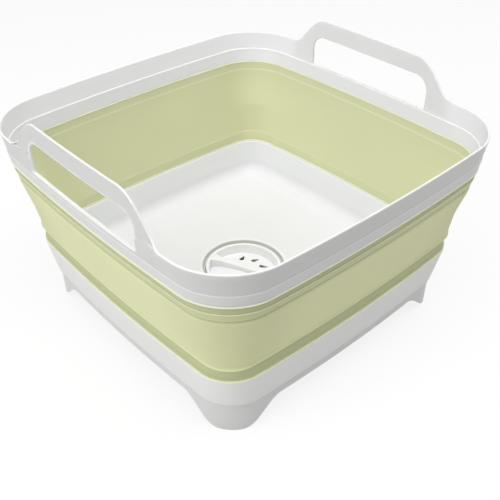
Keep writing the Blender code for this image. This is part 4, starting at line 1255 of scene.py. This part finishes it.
def dome_z(distance):
    """Height of the domed floor at a distance from the middle."""
    return DOME_FOOT_Z + DOME_RISE * (1.0 - (distance / STRAINER_INNER) ** 2)


print("dome's top at", round(dome_z(0.0) / MM, 1), "mm")

# %% Slots in the floor, then the dome
SLOTS_PER_SIDE = 3
SLOT_STEP_ANGLE = math.radians(36.0)
SLOT_ROW_ANGLE = math.radians(-7.0)
SLOT_SLANT = math.radians(-25.0)
SLOT_CIRCLE_RADIUS = 20.5 * MM
SLOT_LENGTH = 9.0 * MM
SLOT_WIDTH = 4.4 * MM
SLOT_ROUND = 0.45 * MM
SLOT_POINT_ROUND = 0.3 * MM
SLOT_OVERRUN = 2.0 * MM


def teardrop(grow, steps=12):
    """A teardrop outline, round at one end and pointed at the other, grown outwards by an amount."""
    head = SLOT_WIDTH / 2
    point = SLOT_LENGTH - head
    tangent = math.acos(head / point)
    back = (head - point) / 2
    return (arc((back, 0.0), head + grow, tangent, FULL_TURN - tangent, steps)
            + arc((point + back - SLOT_POINT_ROUND, 0.0), SLOT_POINT_ROUND + grow, -tangent, tangent,
                  steps=2))


def slot_bit_rows(number):
    """Rows of a router bit for one slot, through a flat floor from z = 0 down to below its underside."""
    rounds = round_over(SLOT_ROUND, steps=4)
    layers = [(SLOT_OVERRUN, rounds[0][1])] + [(-depth, grow) for depth, grow in rounds]
    layers.append((-DOME_WALL - SLOT_OVERRUN, 0.0))
    side, place_in_row = divmod(number, SLOTS_PER_SIDE)
    across_bar = BAR_ANGLE - QUARTER_TURN + side * HALF_TURN
    angle = across_bar + SLOT_ROW_ANGLE + (1 - place_in_row) * SLOT_STEP_ANGLE
    place = Vector((math.cos(angle), math.sin(angle), 0)) * SLOT_CIRCLE_RADIUS
    turn = Matrix.Rotation(angle + SLOT_SLANT, 3, "Z")
    return [[turn @ Vector((u, v, 0)) + place + Vector((0, 0, level)) for u, v in teardrop(grow)]
            for level, grow in layers]


slab_corners = [(x, z, 0.0) for x, z in ((0.0, 0.0), (SLAB_REACH, 0.0), (SLAB_REACH, -DOME_WALL),
                                         (0.0, -DOME_WALL))]
strainer = spin_section("strainer", slab_corners, DOME_SPACING, STRAINER_STEPS)
slot_bits = add_loft("slot_bits", [slot_bit_rows(number) for number in range(2 * SLOTS_PER_SIDE)])
apply_boolean(strainer, slot_bits, "DIFFERENCE")
floor_points = read_points(strainer)
floor_points[:, 2] += dome_z(np.hypot(floor_points[:, 0], floor_points[:, 1]))
write_points(strainer, floor_points)

# %% Ring
ring_corners = [
    (STRAINER_INNER, RING_TOP_Z, 0.5),
    (STRAINER_RADIUS, RING_TOP_Z, 0.6),
    (STRAINER_RADIUS - STRAINER_DRAFT, STRAINER_LOW_Z, 0.4),
    (STRAINER_INNER - STRAINER_DRAFT, STRAINER_LOW_Z, 0.4),
]
ring = spin_section("strainer_ring", ring_corners, RING_SPACING, STRAINER_STEPS)
apply_boolean(strainer, ring, "UNION")

# %% Crossbar
BAR_WIDTH = 4.6 * MM
BAR_FLARE = 4.0 * MM
BAR_FLARE_POWER = 6
BAR_ROUND = 0.7 * MM
BAR_CUTS = 40
BAR_TOP_Z = RING_TOP_Z - 0.4 * MM


def length_along(edge):
    """How far an edge reaches along the bar."""
    return abs(edge.verts[0].co.x - edge.verts[1].co.x)


def on_top(edge):
    return all(vertex.co.z > BAR_TOP_Z - TOUCHING for vertex in edge.verts)


def add_crossbar():
    """The grip bar: a box divided along its length, flared where it meets the ring, its top edges rounded."""
    bpy.ops.mesh.primitive_cube_add(size=1.0)
    bar = bpy.context.object
    bar.name = "crossbar"
    for vertex in bar.data.vertices:
        vertex.co = (vertex.co.x * 2 * SLAB_REACH, vertex.co.y * BAR_WIDTH, vertex.co.z)
    bpy.ops.object.mode_set(mode="EDIT")
    select_edges(bar.data, lambda edge: length_along(edge) > SLAB_REACH)
    bpy.ops.mesh.subdivide(number_cuts=BAR_CUTS)
    bpy.ops.object.mode_set(mode="OBJECT")
    for vertex in bar.data.vertices:
        share = abs(vertex.co.x) / SLAB_REACH
        vertex.co.y *= 1 + 2 * BAR_FLARE / BAR_WIDTH * share ** BAR_FLARE_POWER
        vertex.co.z = BAR_TOP_Z if vertex.co.z > 0 else dome_z(abs(vertex.co.x)) - DOME_WALL / 2
    bpy.ops.object.mode_set(mode="EDIT")
    select_edges(bar.data, lambda edge: on_top(edge) and length_along(edge) > TOUCHING)
    bpy.ops.mesh.bevel(offset_type="OFFSET", offset=BAR_ROUND, segments=ROUND_SEGMENTS, affect="EDGES")
    bpy.ops.mesh.select_all(action="SELECT")
    bpy.ops.transform.rotate(value=-BAR_ANGLE, orient_axis="Z", orient_type="GLOBAL",
                             center_override=(0, 0, 0))
    bpy.ops.mesh.normals_make_consistent(inside=False)
    bpy.ops.object.mode_set(mode="OBJECT")
    return bar


apply_boolean(strainer, add_crossbar(), "UNION")

# %% Stem
STEM_RADIUS = 4.0 * MM
STEM_TOP_Z = dome_z(0.0) - DOME_WALL / 2
STEM_LOW_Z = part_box("strainer_basket")[0].z
STEM_FOOT_FLARE = 1.2 * MM
STEM_STEPS = 48
STEM_SPACING = 4.0 * MM
PLUG_LOW_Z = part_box("drain_plug")[0].z
STRAINER_COOL_LIGHT_SHARE = 0.4

stem_corners = [
    (0.0, STEM_TOP_Z, 0.0),
    (STEM_RADIUS, STEM_TOP_Z, 0.0),
    (STEM_RADIUS, PLUG_LOW_Z - SEAT_GAP, 0.0),
    (STEM_RADIUS + STEM_FOOT_FLARE, PLUG_LOW_Z - SEAT_GAP, 0.2),
    (STEM_RADIUS, STEM_LOW_Z, 0.3),
    (0.0, STEM_LOW_Z, 0.0),
]
stem = spin_section("stem", stem_corners, STEM_SPACING, STEM_STEPS)
apply_boolean(strainer, stem, "UNION")
# The whole strainer is painted lighter and cooler: a painted light.
everywhere = np.ones(len(strainer.data.vertices))
store(strainer.data, "painted_light", everywhere)
store(strainer.data, "painted_cool_light", everywhere * STRAINER_COOL_LIGHT_SHARE)
finish_piece(strainer, white_plastic)
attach(strainer, "strainer")
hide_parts("strainer_basket")

# %% [markdown]
# ## Plug
# Under the strainer a rubber disc closes the outlet. A real one is moulded round: a neck that grips the stem,
# a flat sealing disc and a short cone that finds the hole. All of that is in one section, so it is spun.

# %% Rubber plug
PLUG_SPACING = 1.2 * MM
PLUG_BORE = STEM_RADIUS + 0.4 * MM
PLUG_NECK_RADIUS = PLUG_BORE + 2.4 * MM
PLUG_DISC_RADIUS = 19.0 * MM
PLUG_CONE_TOP_RADIUS = OUTLET_RADIUS - 0.4 * MM
PLUG_CONE_FOOT_RADIUS = OUTLET_RADIUS - 1.6 * MM
PLUG_SEAT_Z = SUMP_Z + SEAT_GAP
PLUG_DISC_TOP_Z = PLUG_SEAT_Z + 2.0 * MM
PLUG_NECK_TOP_Z = PLUG_SEAT_Z + 5.0 * MM

plug_corners = [
    (PLUG_BORE, PLUG_NECK_TOP_Z, 0.3),
    (PLUG_NECK_RADIUS, PLUG_NECK_TOP_Z, 0.6),
    (PLUG_NECK_RADIUS, PLUG_DISC_TOP_Z, 0.9),
    (PLUG_DISC_RADIUS, PLUG_DISC_TOP_Z, 0.7),
    (PLUG_DISC_RADIUS, PLUG_SEAT_Z, 0.5),
    (PLUG_CONE_TOP_RADIUS, PLUG_SEAT_Z, 0.3),
    (PLUG_CONE_FOOT_RADIUS, PLUG_LOW_Z, 0.5),
    (PLUG_BORE, PLUG_LOW_Z, 0.3),
]
plug = spin_section("rubber_plug", plug_corners, PLUG_SPACING, STRAINER_STEPS)
finish_piece(plug, grey_rubber)
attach(plug, "strainer")
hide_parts("drain_plug")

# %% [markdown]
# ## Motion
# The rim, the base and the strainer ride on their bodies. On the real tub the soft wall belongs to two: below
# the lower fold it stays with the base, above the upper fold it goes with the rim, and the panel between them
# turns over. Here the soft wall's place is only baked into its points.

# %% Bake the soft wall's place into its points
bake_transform(soft_wall)
